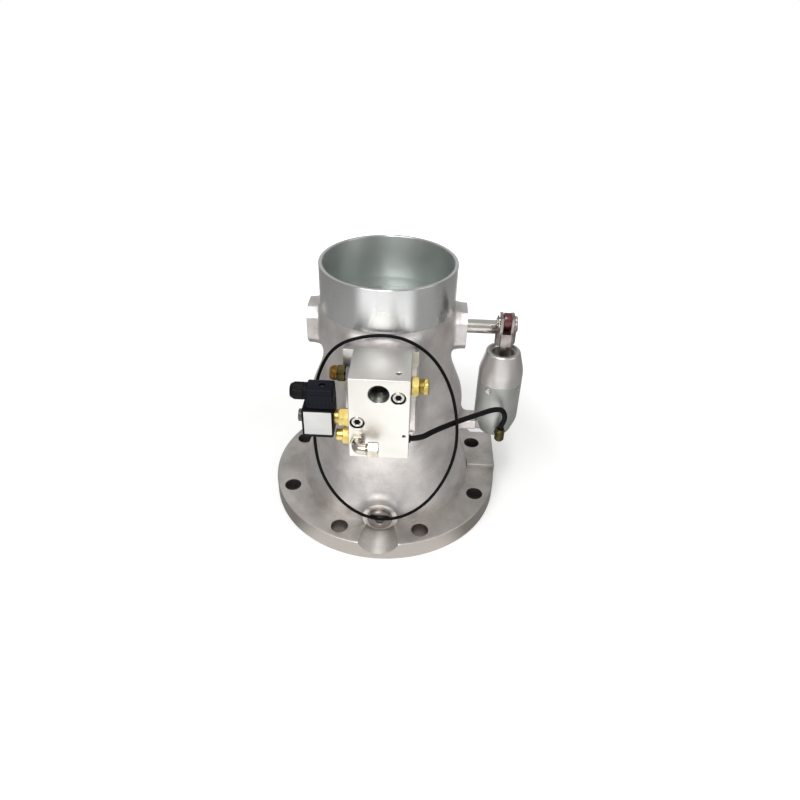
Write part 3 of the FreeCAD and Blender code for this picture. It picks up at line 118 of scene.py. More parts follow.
def bareMetal(name, light, dark, rough, blotch, grain, bump, streak=0.0, axis="Z", lines=None, lineBump=0.0,
              stain=0.35):
    # light and dark mix in soft blotches; lines are tool marks across one axis
    finish, tree, shader, place = newFinish(name, {"Metallic": 1.0, "Anisotropic": streak,
                                                   "Anisotropic Rotation": 0.25})  # streaks cross the cut
    cloud = addNode(tree, "ShaderNodeTexNoise", {"Vector": place, "Scale": 1000 / blotch, "Detail": 4.0})
    speck = addNode(tree, "ShaderNodeTexNoise", {"Vector": place, "Scale": 1000 / grain, "Detail": 3.0})
    amount = addNode(tree, "ShaderNodeMapRange", {"Value": cloud, "From Min": 0.35, "From Max": 0.68})
    spread = addNode(tree, "ShaderNodeMath", {0: amount, 1: 1 - stain}, operation="MULTIPLY")
    mottle = addNode(tree, "ShaderNodeMath", {0: speck, 1: stain, 2: spread}, operation="MULTIPLY_ADD")
    colour = addNode(tree, "ShaderNodeMix", {0: mottle, 6: srgb(light), 7: srgb(dark)}, data_type="RGBA")
    gloss = addNode(tree, "ShaderNodeMapRange", {"Value": mottle, "To Min": rough[0], "To Max": rough[1]})
    bumps = addNode(tree, "ShaderNodeBump", {"Height": speck, "Distance": bump * mm})
    if lines:
        # noise stretched along the cut and thin across it
        squeeze = {"X": (1000 / lines, 4, 4), "Y": (4, 1000 / lines, 4), "Z": (4, 4, 1000 / lines)}[axis]
        mapped = addNode(tree, "ShaderNodeMapping", {"Vector": place, "Scale": squeeze})
        marks = addNode(tree, "ShaderNodeTexNoise", {"Vector": mapped, "Scale": 1.0, "Detail": 2.0})
        bumps = addNode(tree, "ShaderNodeBump", {"Height": marks, "Distance": lineBump * mm, "Normal": bumps})
    linkSkin(tree, shader, colour, gloss, bumps)
    if streak:
        tangent = addNode(tree, "ShaderNodeTangent", direction_type="RADIAL", axis=axis)
        tree.links.new(tangent.outputs[0], shader.inputs["Tangent"])
    return finish


def castSkin(name, light, dark, hollowDustAndShade, rough, grain, bump):
    # matt and grainy, with shallow pits, and darker in the hollows: dust and painted shade
    finish, tree, shader, place = newFinish(name, {"Metallic": 1.0})
    cloud = addNode(tree, "ShaderNodeTexNoise", {"Vector": place, "Scale": 1000 / 45, "Detail": 5.0,
                                                 "Roughness": 0.6})
    sand = addNode(tree, "ShaderNodeTexNoise", {"Vector": place, "Scale": 1000 / grain, "Detail": 4.0,
                                                "Roughness": 0.65})
    pits = addNode(tree, "ShaderNodeTexVoronoi", {"Vector": place, "Scale": 1000 / (grain * 3.2)})
    pitted = addNode(tree, "ShaderNodeMapRange", {"Value": pits, "From Min": 0.05, "From Max": 0.3})
    patches = addNode(tree, "ShaderNodeMapRange", {"Value": cloud, "From Min": 0.36, "From Max": 0.66})
    speckle = addNode(tree, "ShaderNodeMath", {0: sand, 1: 0.5, 2: patches}, operation="MULTIPLY_ADD")
    level = addNode(tree, "ShaderNodeMath", {0: speckle, 1: 0.62}, operation="MULTIPLY")
    body = addNode(tree, "ShaderNodeMix", {0: level, 6: srgb(light), 7: srgb(dark)}, data_type="RGBA")
    # painted shade: the colour darkens in concave places, read from pointiness
    curve = addNode(tree, "ShaderNodeNewGeometry").outputs["Pointiness"]
    hollow = addNode(tree, "ShaderNodeMapRange", {"Value": curve, "From Min": 0.50, "From Max": 0.44,
                                                  "To Max": 0.55})
    dustAndShadeInHollows = addNode(tree, "ShaderNodeMix", {0: hollow, 6: body.outputs[2], 7: srgb(hollowDustAndShade)}, data_type="RGBA")
    gloss = addNode(tree, "ShaderNodeMapRange", {"Value": sand, "From Min": 0.3, "From Max": 0.7,
                                                 "To Min": rough[0], "To Max": rough[1]})
    relief = addNode(tree, "ShaderNodeMath", {0: pitted, 1: 0.6, 2: sand}, operation="MULTIPLY_ADD")
    bumps = addNode(tree, "ShaderNodeBump", {"Height": relief, "Distance": bump * mm})
    linkSkin(tree, shader, dustAndShadeInHollows, gloss, bumps)
    return finish


def mouldedSkin(name, light, dark, rough, grain, bump, constants=None):
    # one colour with faint clouds, and the fine texture of the mould or the brush
    finish, tree, shader, place = newFinish(name, {"Metallic": 0.0, **(constants or {})})
    cloud = addNode(tree, "ShaderNodeTexNoise", {"Vector": place, "Scale": 1000 / 14, "Detail": 3.0})
    texture = addNode(tree, "ShaderNodeTexNoise", {"Vector": place, "Scale": 1000 / grain, "Detail": 2.0})
    colour = addNode(tree, "ShaderNodeMix", {0: cloud, 6: srgb(light), 7: srgb(dark)}, data_type="RGBA")
    gloss = addNode(tree, "ShaderNodeMapRange", {"Value": texture, "From Min": 0.3, "From Max": 0.7,
                                                 "To Min": rough[0], "To Max": rough[1]})
    bumps = addNode(tree, "ShaderNodeBump", {"Height": texture, "Distance": bump * mm})
    linkSkin(tree, shader, colour, gloss, bumps)
    return finish


dull = {"Specular IOR Level": 0.14}  # fine mould texture takes most of the shine
finishes = {
    # blasting leaves a pale grey matt skin; its 1.3 mm grain is coarser than the real one, so that it shows
    "cast": castSkin("sandCastAluminium", "#E8E4E2", "#B9B4B1", "#746D6A", (0.40, 0.60), 1.3, 0.16),
    # the flange's skin is darker, with oil stains; its grain is coarse for the same reason
    "flange": castSkin("sandCastAluminiumOiled", "#D8D3CE", "#9F9A96", "#5F5A56", (0.42, 0.60), 1.4, 0.16),
    # fine rings round the axis stretch every highlight into a streak
    "turned": bareMetal("turnedAluminium", "#D9DADA", "#C8C9C9", (0.24, 0.30), blotch=90, grain=0.5, bump=0.002,
                        streak=0.85, lines=0.6, lineBump=0.006, stain=0.15),
    # bored finer than the outside: a soft wide streak and no rings
    "bore": bareMetal("turnedBore", "#D3D8D5", "#C4C9C6", (0.38, 0.42), blotch=90, grain=0.5, bump=0.0,
                      streak=0.6, lines=0.6, stain=0.1),
    # painted shade: a dark metal for the thread inside the port and the fill in the plug's socket, darker in
    # patches
    "thread": bareMetal("shadedDarkThread", "#7A7A77", "#44443F", (0.30, 0.46), blotch=6, grain=0.4, bump=0.006),
    # faced square to the shaft: the light spreads in a faint fan
    "turnedX": bareMetal("turnedAluminiumFace", "#DDDCDA", "#BFBDBA", (0.25, 0.38), blotch=25, grain=0.6,
                         bump=0.006, streak=0.3, axis="X"),
    # an end mill's close marks leave it pale and even
    "milled": bareMetal("milledAluminium", "#E9E7E3", "#DAD7D2", (0.38, 0.50), blotch=60, grain=0.5, bump=0.004,
                        axis="X", lines=0.8, lineBump=0.006, stain=0.2),
    # satin turning blurs the light into broad upright bands
    "satinCap": bareMetal("satinTurnedAluminium", "#D6D2CF", "#C2BEBB", (0.34, 0.46), blotch=35, grain=0.4,
                          bump=0.006, streak=0.35, lines=0.4, lineBump=0.006),
    # anodising over it is greyer, and close to matt
    "satin": bareMetal("satinAnodisedAluminium", "#C2C4C1", "#A7A9A5", (0.46, 0.58), blotch=35, grain=0.4,
                       bump=0.006, lines=0.4, lineBump=0.006),
    # grinding gives the sharpest and brightest streaks here
    "ground": bareMetal("groundSteel", "#D9D6D0", "#B9B5AE", (0.16, 0.30), blotch=18, grain=0.3, bump=0.003,
                        streak=0.5, axis="X", lines=0.25, lineBump=0.004),
    # thin plating, cloudy and slightly pink
    "zinc": bareMetal("zincPlatedSteel", "#ABA3A0", "#7C7471", (0.24, 0.42), blotch=10, grain=0.5, bump=0.008),
    # oil-blackened, with a dark shine
    "steel": bareMetal("blackenedSteel", "#77767A", "#454346", (0.28, 0.42), blotch=8, grain=0.4, bump=0.006),
    # soft rings, as even as the bore around it
    "disc": bareMetal("turnedDiscAluminium", "#B4B9B6", "#A6ABA8", (0.38, 0.44), blotch=60, grain=0.6, bump=0.0,
                      streak=0.4),
    # pale yellow where it is new, browner where it has been handled
    "brass": bareMetal("turnedYellowBrass", "#DDCB84", "#A89350", (0.24, 0.40), blotch=9, grain=0.4,
                       bump=0.005),
    # tarnish all but hides the yellow
    "agedBrass": bareMetal("agedBrass", "#625B38", "#262213", (0.28, 0.46), blotch=5, grain=0.5, bump=0.010),
    # smooth plating with a warm mirror shine
    "nickel": bareMetal("nickelPlatedBrass", "#D6D0C4", "#ABA396", (0.16, 0.30), blotch=10, grain=0.4,
                        bump=0.004),
    # sintering leaves open grains that catch the light singly
    "bronze": bareMetal("sinteredBronze", "#A07C42", "#57401F", (0.36, 0.56), blotch=5, grain=0.7, bump=0.03),
    # stamped flat, dulled by heat
    "copper": bareMetal("stampedCopper", "#B5ABA0", "#8C8177", (0.28, 0.46), blotch=7, grain=0.6, bump=0.01),
    # moulded: even, dark and nearly matt; the connector's is a shade bluer
    "nylon": mouldedSkin("mouldedBlackNylon", "#101113", "#08090A", (0.46, 0.58), 0.5, 0.012, dull),
    "navy": mouldedSkin("mouldedNavyNylon", "#0C101E", "#070A12", (0.44, 0.56), 0.5, 0.010, dull),
    # rubber is the dullest black
    "nitrile": mouldedSkin("nitrileRubber", "#0A0A0B", "#050506", (0.50, 0.66), 0.7, 0.012,
                           {"Specular IOR Level": 0.10}),
    # drawn tube has a smoother black than the mouldings
    "tube": mouldedSkin("polyurethaneTube", "#09090B", "#050506", (0.40, 0.52), 1.2, 0.006, dull),
    # dark red under a clear shine, with the orange-peel of a thick coat
    "enamel": mouldedSkin("redEnamel", "#64101B", "#3A080F", (0.30, 0.44), 0.9, 0.015,
                          {"Coat Weight": 0.5, "Coat Roughness": 0.15}),
    # plain film: smooth and off-white
    "film": mouldedSkin("plainLabelFilm", "#DCDCDA", "#CBCBC9", (0.30, 0.38), 2.0, 0.004),
}
# the flange's turned outer wall is bright, and its bolt holes are painted dark brown in and round each hole:
# painted shade
flangeWallAndHoleShade = {"wallRadius": 141.5, "steep": 0.6, "wall": "#A9A39E", "wallRough": 0.50, "boltCircle": 125.0,
              "holeCount": 8, "holeEdge": (9.8, 10.6), "holeShade": "#4A3C37"}


def addFlangeWallAndHoleShade(material, c):
    tree = material.node_tree
    shader = next(node for node in tree.nodes if node.type == "BSDF_PRINCIPLED")
    place = addNode(tree, "ShaderNodeTexCoord").outputs["Object"]
    x, y = addNode(tree, "ShaderNodeSeparateXYZ", {0: place}).outputs[:2]
    flat = addNode(tree, "ShaderNodeCombineXYZ", {0: x, 1: y})
    reach = addNode(tree, "ShaderNodeVectorMath", {0: flat}, operation="LENGTH").outputs["Value"]
    normal = addNode(tree, "ShaderNodeNewGeometry").outputs["Normal"]
    facing = addNode(tree, "ShaderNodeSeparateXYZ", {0: normal}).outputs[2]
    outer = addNode(tree, "ShaderNodeMath", {0: reach, 1: c["wallRadius"] * mm}, operation="GREATER_THAN")
    upright = addNode(tree, "ShaderNodeMath", {0: facing, 1: c["steep"]}, operation="LESS_THAN")
    wall = addNode(tree, "ShaderNodeMath", {0: outer, 1: upright}, operation="MULTIPLY")
    # every hole is folded onto one sector, and its edge is a distance from the hole's middle
    half = math.pi / c["holeCount"]
    angle = addNode(tree, "ShaderNodeMath", {0: y, 1: x}, operation="ARCTAN2")
    shifted = addNode(tree, "ShaderNodeMath", {0: angle, 1: half}, operation="SUBTRACT")
    folded = addNode(tree, "ShaderNodeMath", {0: shifted, 1: half, 2: -half}, operation="WRAP")
    along = addNode(tree, "ShaderNodeMath", {0: folded}, operation="COSINE")
    across = addNode(tree, "ShaderNodeMath", {0: folded}, operation="SINE")
    outwards = addNode(tree, "ShaderNodeMath", {0: along, 1: reach, 2: -c["boltCircle"] * mm},
                       operation="MULTIPLY_ADD")
    sideways = addNode(tree, "ShaderNodeMath", {0: across, 1: reach}, operation="MULTIPLY")
    offset = addNode(tree, "ShaderNodeCombineXYZ", {0: outwards, 1: sideways})
    gap = addNode(tree, "ShaderNodeVectorMath", {0: offset}, operation="LENGTH").outputs["Value"]
    inner, clear = c["holeEdge"]
    # painted shade: the bolt holes' walls and rims are coloured dark brown
    holeShadeMask = addNode(tree, "ShaderNodeMapRange", {"Value": gap, "From Min": inner * mm, "From Max": clear * mm,
                                                "To Min": 1.0, "To Max": 0.0})
    skin = shader.inputs["Base Color"].links[0].from_socket
    worn = shader.inputs["Roughness"].links[0].from_socket
    bright = addNode(tree, "ShaderNodeMix", {0: wall, 6: skin, 7: srgb(c["wall"])}, data_type="RGBA")
    holeShaded = addNode(tree, "ShaderNodeMix", {0: holeShadeMask, 6: bright.outputs[2], 7: srgb(c["holeShade"])},
                    data_type="RGBA")
    sheen = addNode(tree, "ShaderNodeMix", {0: wall, 2: worn, 3: c["wallRough"]})
    tree.links.new(holeShaded.outputs[2], shader.inputs["Base Color"])
    tree.links.new(sheen.outputs[0], shader.inputs["Roughness"])


addFlangeWallAndHoleShade(finishes["flange"], flangeWallAndHoleShade)
print("finishes made:", len(finishes))


# mesh tools
def directions(along):
    axis = Vector(along).normalized()
    first = Vector((0, 0, 1)) if abs(axis.x) > 0.9 else Vector((1, 0, 0))
    first = (first - axis * first.dot(axis)).normalized()
    return axis, first, axis.cross(first)


def ease(profile, size, parts=3):
    # rounds the profile's inner corners
    points = [Vector(p) for p in profile]
    done = [tuple(points[0])]
    for before, corner, after in zip(points, points[1:], points[2:]):
        cut = min(size, (corner - before).length * 0.45, (after - corner).length * 0.45)
        start = corner + (before - corner).normalized() * cut
        end = corner + (after - corner).normalized() * cut
        for step in range(parts + 1):
            t = step / parts
            done.append(tuple(start * (1 - t) ** 2 + corner * 2 * t * (1 - t) + end * t ** 2))
    done.append(tuple(points[-1]))
    return done


def spin(rows, at, along, steps=72, closed=False, bm=None):
    # rows are (distance along the axis, radius), and a radius may be a function of the angle
    bm = bmesh.new() if bm is None else bm
    axis, first, second = directions(along)
    rings = []
    for distance, radius in rows:
        centre = Vector(at) + axis * distance
        if not callable(radius) and radius <= 1e-6:
            rings.append([bm.verts.new(centre)])
            continue
        ring = []
        for step in range(steps):
            angle = 2 * math.pi * step / steps
            reach = radius(angle) if callable(radius) else radius
            ring.append(bm.verts.new(centre + (first * math.cos(angle) + second * math.sin(angle)) * reach))
        rings.append(ring)
    pairs = list(zip(rings, rings[1:]))
    if closed:
        pairs.append((rings[-1], rings[0]))
    for low, high in pairs:
        for step in range(steps):
            after = (step + 1) % steps
            if len(low) == 1 and len(high) == 1:
                continue
            if len(low) == 1:
                bm.faces.new((low[0], high[step], high[after]))
            elif len(high) == 1:
                bm.faces.new((low[step], high[0], low[after]))
            else:
                bm.faces.new((low[step], high[step], high[after], low[after]))
    return bm


def turnedSolid(profile, at, along, steps=72, round=0.3):
    return spin(ease(profile, round) if round else profile, at, along, steps)


def turnedRing(profile, at, along, steps=72, round=0.3):
    # a closed outline spun round the axis
    rounded = ease(profile + profile[:2], round)[1:-1] if round else profile
    return spin(rounded, at, along, steps, closed=True)


def cylinder(low, high, radius, at, along, steps=32):
    return spin([(low, 0), (low, radius), (high, radius), (high, 0)], at, along, steps)


def hexOf(acrossFlats, cap=None):
    def radius(angle):
        flat = acrossFlats / 2 / math.cos(angle % (math.pi / 3) - math.pi / 6)
        return min(flat, cap) if cap else flat
    return radius


def hexRows(start, length, acrossFlats):
    # a hexagon whose corners are turned off at both ends
    corner, turned = acrossFlats / math.sqrt(3), acrossFlats / 2 * 0.985
    depth = corner - turned
    rise = depth * 0.55
    parts = (0.0, 0.25, 0.5, 0.75, 1.0)
    rows = [(start + rise * t, hexOf(acrossFlats, turned + depth * t)) for t in parts]
    return rows + [(start + length - rise * (1 - t), hexOf(acrossFlats, corner - depth * t)) for t in parts]


def threadRows(start, end, radius, pitch, depth):
    # a real helix: the radius depends on the distance and on the angle
    rows = []
    count = max(2, int((end - start) / (pitch / 6)))
    for step in range(count + 1):
        t = start + (end - start) * step / count

        def reach(angle, t=t):
            phase = (t / pitch + angle / (2 * math.pi)) % 1
            return radius - depth * (1 - abs(2 * phase - 1))
        rows.append((t, reach))
    return rows


def ribbed(radius, count, depth, sharp=2.0):
    def reach(angle):
        return radius - depth * abs(math.cos(angle * count / 2)) ** sharp
    return reach


def boxSolid(low, high, round=0.0, parts=3):
    bm = bmesh.new()
    bmesh.ops.create_cube(bm, size=1)
    for vert in bm.verts:
        vert.co = Vector([(vert.co[i] + 0.5) * (high[i] - low[i]) + low[i] for i in range(3)])
    if round:
        bmesh.ops.bevel(bm, geom=bm.edges[:], offset=round, segments=parts, profile=0.5, affect="EDGES",
                        clamp_overlap=True)
    return bm


def joined(*solids):
    whole = solids[0]
    for other in solids[1:]:
        mesh = bpy.data.meshes.new("part")
        other.to_mesh(mesh)
        other.free()
        whole.from_mesh(mesh)
        bpy.data.meshes.remove(mesh)
    return whole


def temporary(bm):
    bmesh.ops.recalc_face_normals(bm, faces=bm.faces)
    mesh = bpy.data.meshes.new("temporary")
    bm.to_mesh(mesh)
    bm.free()
    item = bpy.data.objects.new("temporary", mesh)
    collection.objects.link(item)
    return item


def evaluated(item):
    # what an object's modifiers make of it, opened for further work
    mesh = bpy.data.meshes.new_from_object(item.evaluated_get(bpy.context.evaluated_depsgraph_get()))
    bpy.data.objects.remove(item)
    bm = bmesh.new()
    bm.from_mesh(mesh)
    bpy.data.meshes.remove(mesh)
    return bm


def boolean(bm, *cutters, operation="DIFFERENCE"):
    base = temporary(bm)
    tools = [temporary(cutter) for cutter in cutters]
    for tool in tools:
        change = base.modifiers.new("cut", "BOOLEAN")
        change.operation = operation
        change.solver = "EXACT"
        change.object = tool
    result = evaluated(base)
    for tool in tools:
        bpy.data.objects.remove(tool)
    return result


def softenEdges(bm, width, parts=2):
    bmesh.ops.remove_doubles(bm, verts=bm.verts, dist=0.002)
    bmesh.ops.dissolve_limit(bm, angle_limit=math.radians(1), verts=bm.verts, edges=bm.edges)
    item = temporary(bm)
    change = item.modifiers.new("soften", "BEVEL")
    change.width = width
    change.segments = parts
    change.limit_method = "ANGLE"
    change.angle_limit = math.radians(35)  # flatter edges belong to a curved wall
    change.use_clamp_overlap = True
    return evaluated(item)


def nodeCopy(node):
    # a CAD node's mesh in millimetres, its loose triangles merged
    bm = bmesh.new()
    bm.from_mesh(nodes[node].data)
    bmesh.ops.scale(bm, vec=(1000, 1000, 1000), verts=bm.verts)
    bmesh.ops.remove_doubles(bm, verts=bm.verts, dist=0.002)
    return bm


def addPiece(name, bm, finish, node=None, angle=32, body="housing"):
    bmesh.ops.remove_doubles(bm, verts=bm.verts, dist=0.0008)
    bmesh.ops.recalc_face_normals(bm, faces=bm.faces)
    bmesh.ops.scale(bm, vec=(mm, mm, mm), verts=bm.verts)
    mesh = bpy.data.meshes.new(name)
    bm.to_mesh(mesh)
    bm.free()
    mesh.materials.clear()
    mesh.materials.append(finishes[finish])
    for polygon in mesh.polygons:
        polygon.material_index = 0
    mesh.shade_smooth()
    mesh.set_sharp_from_angle(angle=math.radians(angle))
    piece = bpy.data.objects.new(name, mesh)
    collection.objects.link(piece)
    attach(piece, body)
    if node:
        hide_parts(node)
    return piece


def startTree(name, inputs):
    # inputs are named with their kinds; the geometry comes in first and the finish last
    tree = bpy.data.node_groups.new(name, "GeometryNodeTree")
    for label, kind in {"Geometry": "Geometry", **inputs, "Finish": "Material"}.items():
        tree.interface.new_socket(label, in_out="INPUT", socket_type="NodeSocket" + kind)
    tree.interface.new_socket("Geometry", in_out="OUTPUT", socket_type="NodeSocketGeometry")
    return tree, addNode(tree, "NodeGroupInput").outputs


def endTree(tree, source, geometry):
    whole = addNode(tree, "GeometryNodeRealizeInstances", {"Geometry": geometry})
    dressed = addNode(tree, "GeometryNodeSetMaterial", {"Geometry": whole, "Material": source["Finish"]})
    addNode(tree, "NodeGroupOutput", {0: dressed})
    return tree


def runTree(bm, tree, values):
    item = temporary(bm)
    change = item.modifiers.new("tree", "NODES")
    change.node_group = tree
    for socket in tree.interface.items_tree:
        if socket.in_out == "INPUT" and socket.name in values:
            change[socket.identifier] = values[socket.name]
    item.update_tag()
    return evaluated(item)


# cast body: smooth unions of the forms a pattern maker would fillet into one casting
castBody = {"voxel": 1.7, "fillet": 14.0, "collarFillet": 7.0, "armFillet": 9, "portFillet": 10, "wave": 0.22,
            "skirt": [(20, 107), (44, 105.3), (74, 92), (150, 92), (192, 75), (266, 75)],
            "room": [(18, 0), (18, 83.5), (154, 83.5), (196, 73.2), (272, 73.2), (272, 0)],
            "shaftHeight": 238, "boss": 20, "bossRoot": 26, "collarHalf": 23, "collarChamfer": 10,
            "collarFace": 89.4, "collarBack": 78.4, "millingStock": 1.5,
            "pad": [(94, 152), (94, 255.5), (46, 255.5), (46, 130), (82, 130)], "padMiddle": -1.5,
            "padHalf": 39.5, "padRound": 7, "arm": (94, -20, 120), "armHalf": (18, 13, 6),
            "portHeight": 36, "portRadius": 20.5, "portMiddle": -91, "portHalf": 20.6}


def outlineDistance(x, y, corners):
    nearest = np.full(x.shape, 1e9)
    inside = np.zeros(x.shape, bool)
    for (ax, ay), (bx, by) in zip(corners, corners[1:] + corners[:1]):
        ex, ey = bx - ax, by - ay
        wx, wy = x - ax, y - ay
        t = np.clip((wx * ex + wy * ey) / (ex * ex + ey * ey + 1e-12), 0, 1)
        nearest = np.minimum(nearest, (wx - ex * t) ** 2 + (wy - ey * t) ** 2)
        if abs(ey) > 1e-9:
            inside ^= ((ay > y) != (by > y)) & (x < ex * (y - ay) / ey + ax)
    return np.where(inside, -1, 1) * np.sqrt(nearest)


def thickened(flat, across, round):
    a, b = flat + round, across + round
    return np.minimum(np.maximum(a, b), 0) + np.hypot(np.maximum(a, 0), np.maximum(b, 0)) - round


def smoothUnion(a, b, size):
    overlap = np.maximum(size - np.abs(a - b), 0) / size
    return np.minimum(a, b) - overlap * overlap * size / 4


def octagon(half, chamfer, height):
    short = half - chamfer
    return [(half, height - short), (half, height + short), (short, height + half), (-short, height + half),
            (-half, height + short), (-half, height - short), (-short, height - half), (short, height - half)]


def castDistance(points, c):
    x, y, z = points[:, 0], points[:, 1], points[:, 2]
    profile = [(radius, height) for height, radius in ease(c["skirt"], 12, 4)]
    body = outlineDistance(np.hypot(x, y), z, profile + [(-40, 266), (-40, 20)])
    h = c["shaftHeight"]
    flare = np.interp(np.abs(x), [60, 70, 80], [c["bossRoot"], c["bossRoot"], c["boss"]])
    boss = thickened(np.hypot(y, z - h) - flare, np.abs(x) - c["collarFace"], 2)
    body = smoothUnion(body, boss, c["fillet"])
    back, face, stock = c["collarBack"], c["collarFace"], c["millingStock"]
    collar = thickened(outlineDistance(y, z, octagon(c["collarHalf"], c["collarChamfer"], h)),
                       np.abs(np.abs(x) - (back + face + stock) / 2) - (face + stock - back) / 2, 1.2)
    body = smoothUnion(body, collar, c["collarFillet"])
    pad = thickened(outlineDistance(-y, z, c["pad"]), np.abs(x - c["padMiddle"]) - c["padHalf"],
                    c["padRound"])
    body = smoothUnion(body, pad, c["fillet"])
    (armX, armY, armZ), (halfX, halfY, halfZ) = c["arm"], c["armHalf"]
    arm = thickened(np.abs(y - armY) - halfY,
                    np.maximum(np.abs(z - armZ) - halfZ, np.abs(x - armX) - halfX), 2.5)
    body = smoothUnion(body, arm, c["armFillet"])
    front = thickened(np.hypot(x, z - c["portHeight"]) - c["portRadius"],
                      np.abs(y - c["portMiddle"]) - c["portHalf"], 2)
    return smoothUnion(body, front, c["portFillet"])


def makeCastShell(c):
    h, half, portAt = c["shaftHeight"], c["collarHalf"], (0, 0, c["portHeight"])
    # plain stock a little over every form; its grid is then drawn onto the true distances
    stock = spin([(20, 0)] + c["skirt"] + [(266, 0)], origin, upwards, 96)
    forms = [cylinder(-91, 91, 22, (0, 0, h), toRight), boxSolid((-91, -half, h - half), (-78, half, h + half)),
             boxSolid((78, -half, h - half), (91, half, h + half)), boxSolid((-41, -94, 130), (38, -46, 255)),
             boxSolid((80, -33, 114), (112, -7, 126)), cylinder(70, 111.6, c["portRadius"], portAt, toFront)]
    rough = temporary(joined(stock, *forms))
    grid = rough.modifiers.new("grid", "REMESH")
    grid.mode = "VOXEL"
    grid.voxel_size = c["voxel"]
    shell = evaluated(rough)
    points = np.array([v.co for v in shell.verts])
    reach = 0.4  # half the distance over which a slope is taken
    for turn in range(7):
        near = castDistance(points, c)
        slope = np.stack([(castDistance(points + side * reach, c) - castDistance(points - side * reach, c))
                          / (2 * reach) for side in np.eye(3)], 1)
        slope /= np.maximum(np.linalg.norm(slope, axis=1, keepdims=True), 0.2)
        points = points - slope * np.clip(near, -2.5, 2.5)[:, None]
        if turn in (1, 3):
            for vert, place in zip(shell.verts, points):
                vert.co = place
            bmesh.ops.smooth_vert(shell, verts=shell.verts, factor=0.5, use_axis_x=True, use_axis_y=True,
                                  use_axis_z=True)
            points = np.array([v.co for v in shell.verts])
    for vert, place, lean in zip(shell.verts, points, slope):
        # faint swells of a hand-dressed pattern
        spot = Vector(place)
        wave = noise.noise(spot * 0.045) + 0.45 * noise.noise(spot * 0.16)
        vert.co = spot + Vector(lean) * wave * c["wave"]
    room = turnedSolid(c["room"], origin, upwards, 128, 8)
    # milled faces: foot, neck's end, both collars, the block's pad, front port and the arm's end
    faces = [boxSolid((-130, -130, -5), (130, 130, 24)), boxSolid((-90, -90, 264.5), (90, 90, 290)),
             boxSolid((c["collarFace"], -32, h - 32), (99, 32, h + 32)),
             boxSolid((-99, -32, h - 32), (-c["collarFace"], 32, h + 32)),
             boxSolid((-46, -112, 153.5), (46, -92, 259)), boxSolid((-26, -125, 23), (26, -110, 66)),
             boxSolid((108.6, -45, 100), (130, 5, 140))]
    bores = [spin([(70, 0), (70, 11.1), (84.4, 11.1), (84.4, 12), (92, 12), (92, 0)], (0, 0, h), side, 48)
             for side in (toRight, toLeft)]
    port = cylinder(60, 112, 10.4, portAt, toFront, 48)
    studHole = cylinder(101.5, 112, 4.1, (0, -20, 120), toRight)
    return boolean(shell, room, *faces, *bores, port, studHole)


addPiece("castShell", makeCastShell(castBody), "cast", "valve_body", 38)
# milled seat of the block, where it shows past the block
padFace = joined(boxSolid((-40.4, -92.02, 207), (-10, -91.7, 254.6), 0.1, 1),
                 boxSolid((-11, -92.02, 238), (37.4, -91.7, 254.6), 0.1, 1))
addPiece("padFace", padFace, "milled")
print("cast shell made")

# base flange: turned ring with an ear; Geometry Nodes drill the bolt circle
flange = {"inner": 83.5, "outer": 142.5, "thick": 24.0, "edge": 2.5, "chamfer": 0.8,
          "earLow": (94, 2, 0.02), "earHigh": (144, 74, 30), "earEdge": 1.6, "skirtRadius": 107.6,
          "scallop": [(110, 0), (110, 20.5), (142.5, 27), (150, 28.5), (150, 0)],
          "groove": [(-1, 95.5), (2.7, 95.5), (2.7, 99.7), (-1, 99.7)],
          "holes": {"Hole Count": 8, "Circle Radius": 125.0, "Hole Radius": 10.0, "Depth": 90.0,
                    "Finish": finishes["flange"]}}


def boltCircleTree():
    tree, source = startTree("boltCircle", {"Hole Count": "Int", "Circle Radius": "Float",
                                            "Hole Radius": "Float", "Depth": "Float"})
    circle = addNode(tree, "GeometryNodeMeshCircle", {"Vertices": source["Hole Count"],
                                                      "Radius": source["Circle Radius"]})
    half = addNode(tree, "ShaderNodeMath", {0: math.pi, 1: source["Hole Count"]}, operation="DIVIDE")
    turn = addNode(tree, "ShaderNodeCombineXYZ", {"Z": half})
    turned = addNode(tree, "GeometryNodeTransform", {"Geometry": circle, "Rotation": turn})
    drill = addNode(tree, "GeometryNodeMeshCylinder", {"Vertices": 64, "Radius": source["Hole Radius"],
                                                       "Depth": source["Depth"]})
    bore = addNode(tree, "GeometryNodeInstanceOnPoints", {"Points": turned, "Instance": drill})
    solid = addNode(tree, "GeometryNodeRealizeInstances", {"Geometry": bore})
    cut = addNode(tree, "GeometryNodeMeshBoolean", {"Mesh 1": source["Geometry"], "Mesh 2": solid},
                  operation="DIFFERENCE", solver="EXACT")
    return endTree(tree, source, cut)


def makeFlange(c):
    inner, outer, thick = c["inner"], c["outer"], c["thick"]
    ring = turnedRing([(0, inner), (0, outer), (thick, outer), (thick, inner)], origin, upwards, 192, c["edge"])
    whole = boolean(ring, boxSolid(c["earLow"], c["earHigh"], c["earEdge"]), operation="UNION")
    room = cylinder(thick, 34, c["skirtRadius"], origin, upwards, 128)
    scallop = spin(c["scallop"], (0, 0, 36), toFront, 96)
    groove = turnedRing(c["groove"], origin, upwards, 128, 0)
    whole = boolean(whole, room, scallop, groove)
    return softenEdges(runTree(whole, boltCircleTree(), c["holes"]), c["chamfer"])


addPiece("baseFlange", makeFlange(flange), "flange", "flange_ring")
print("flange made")


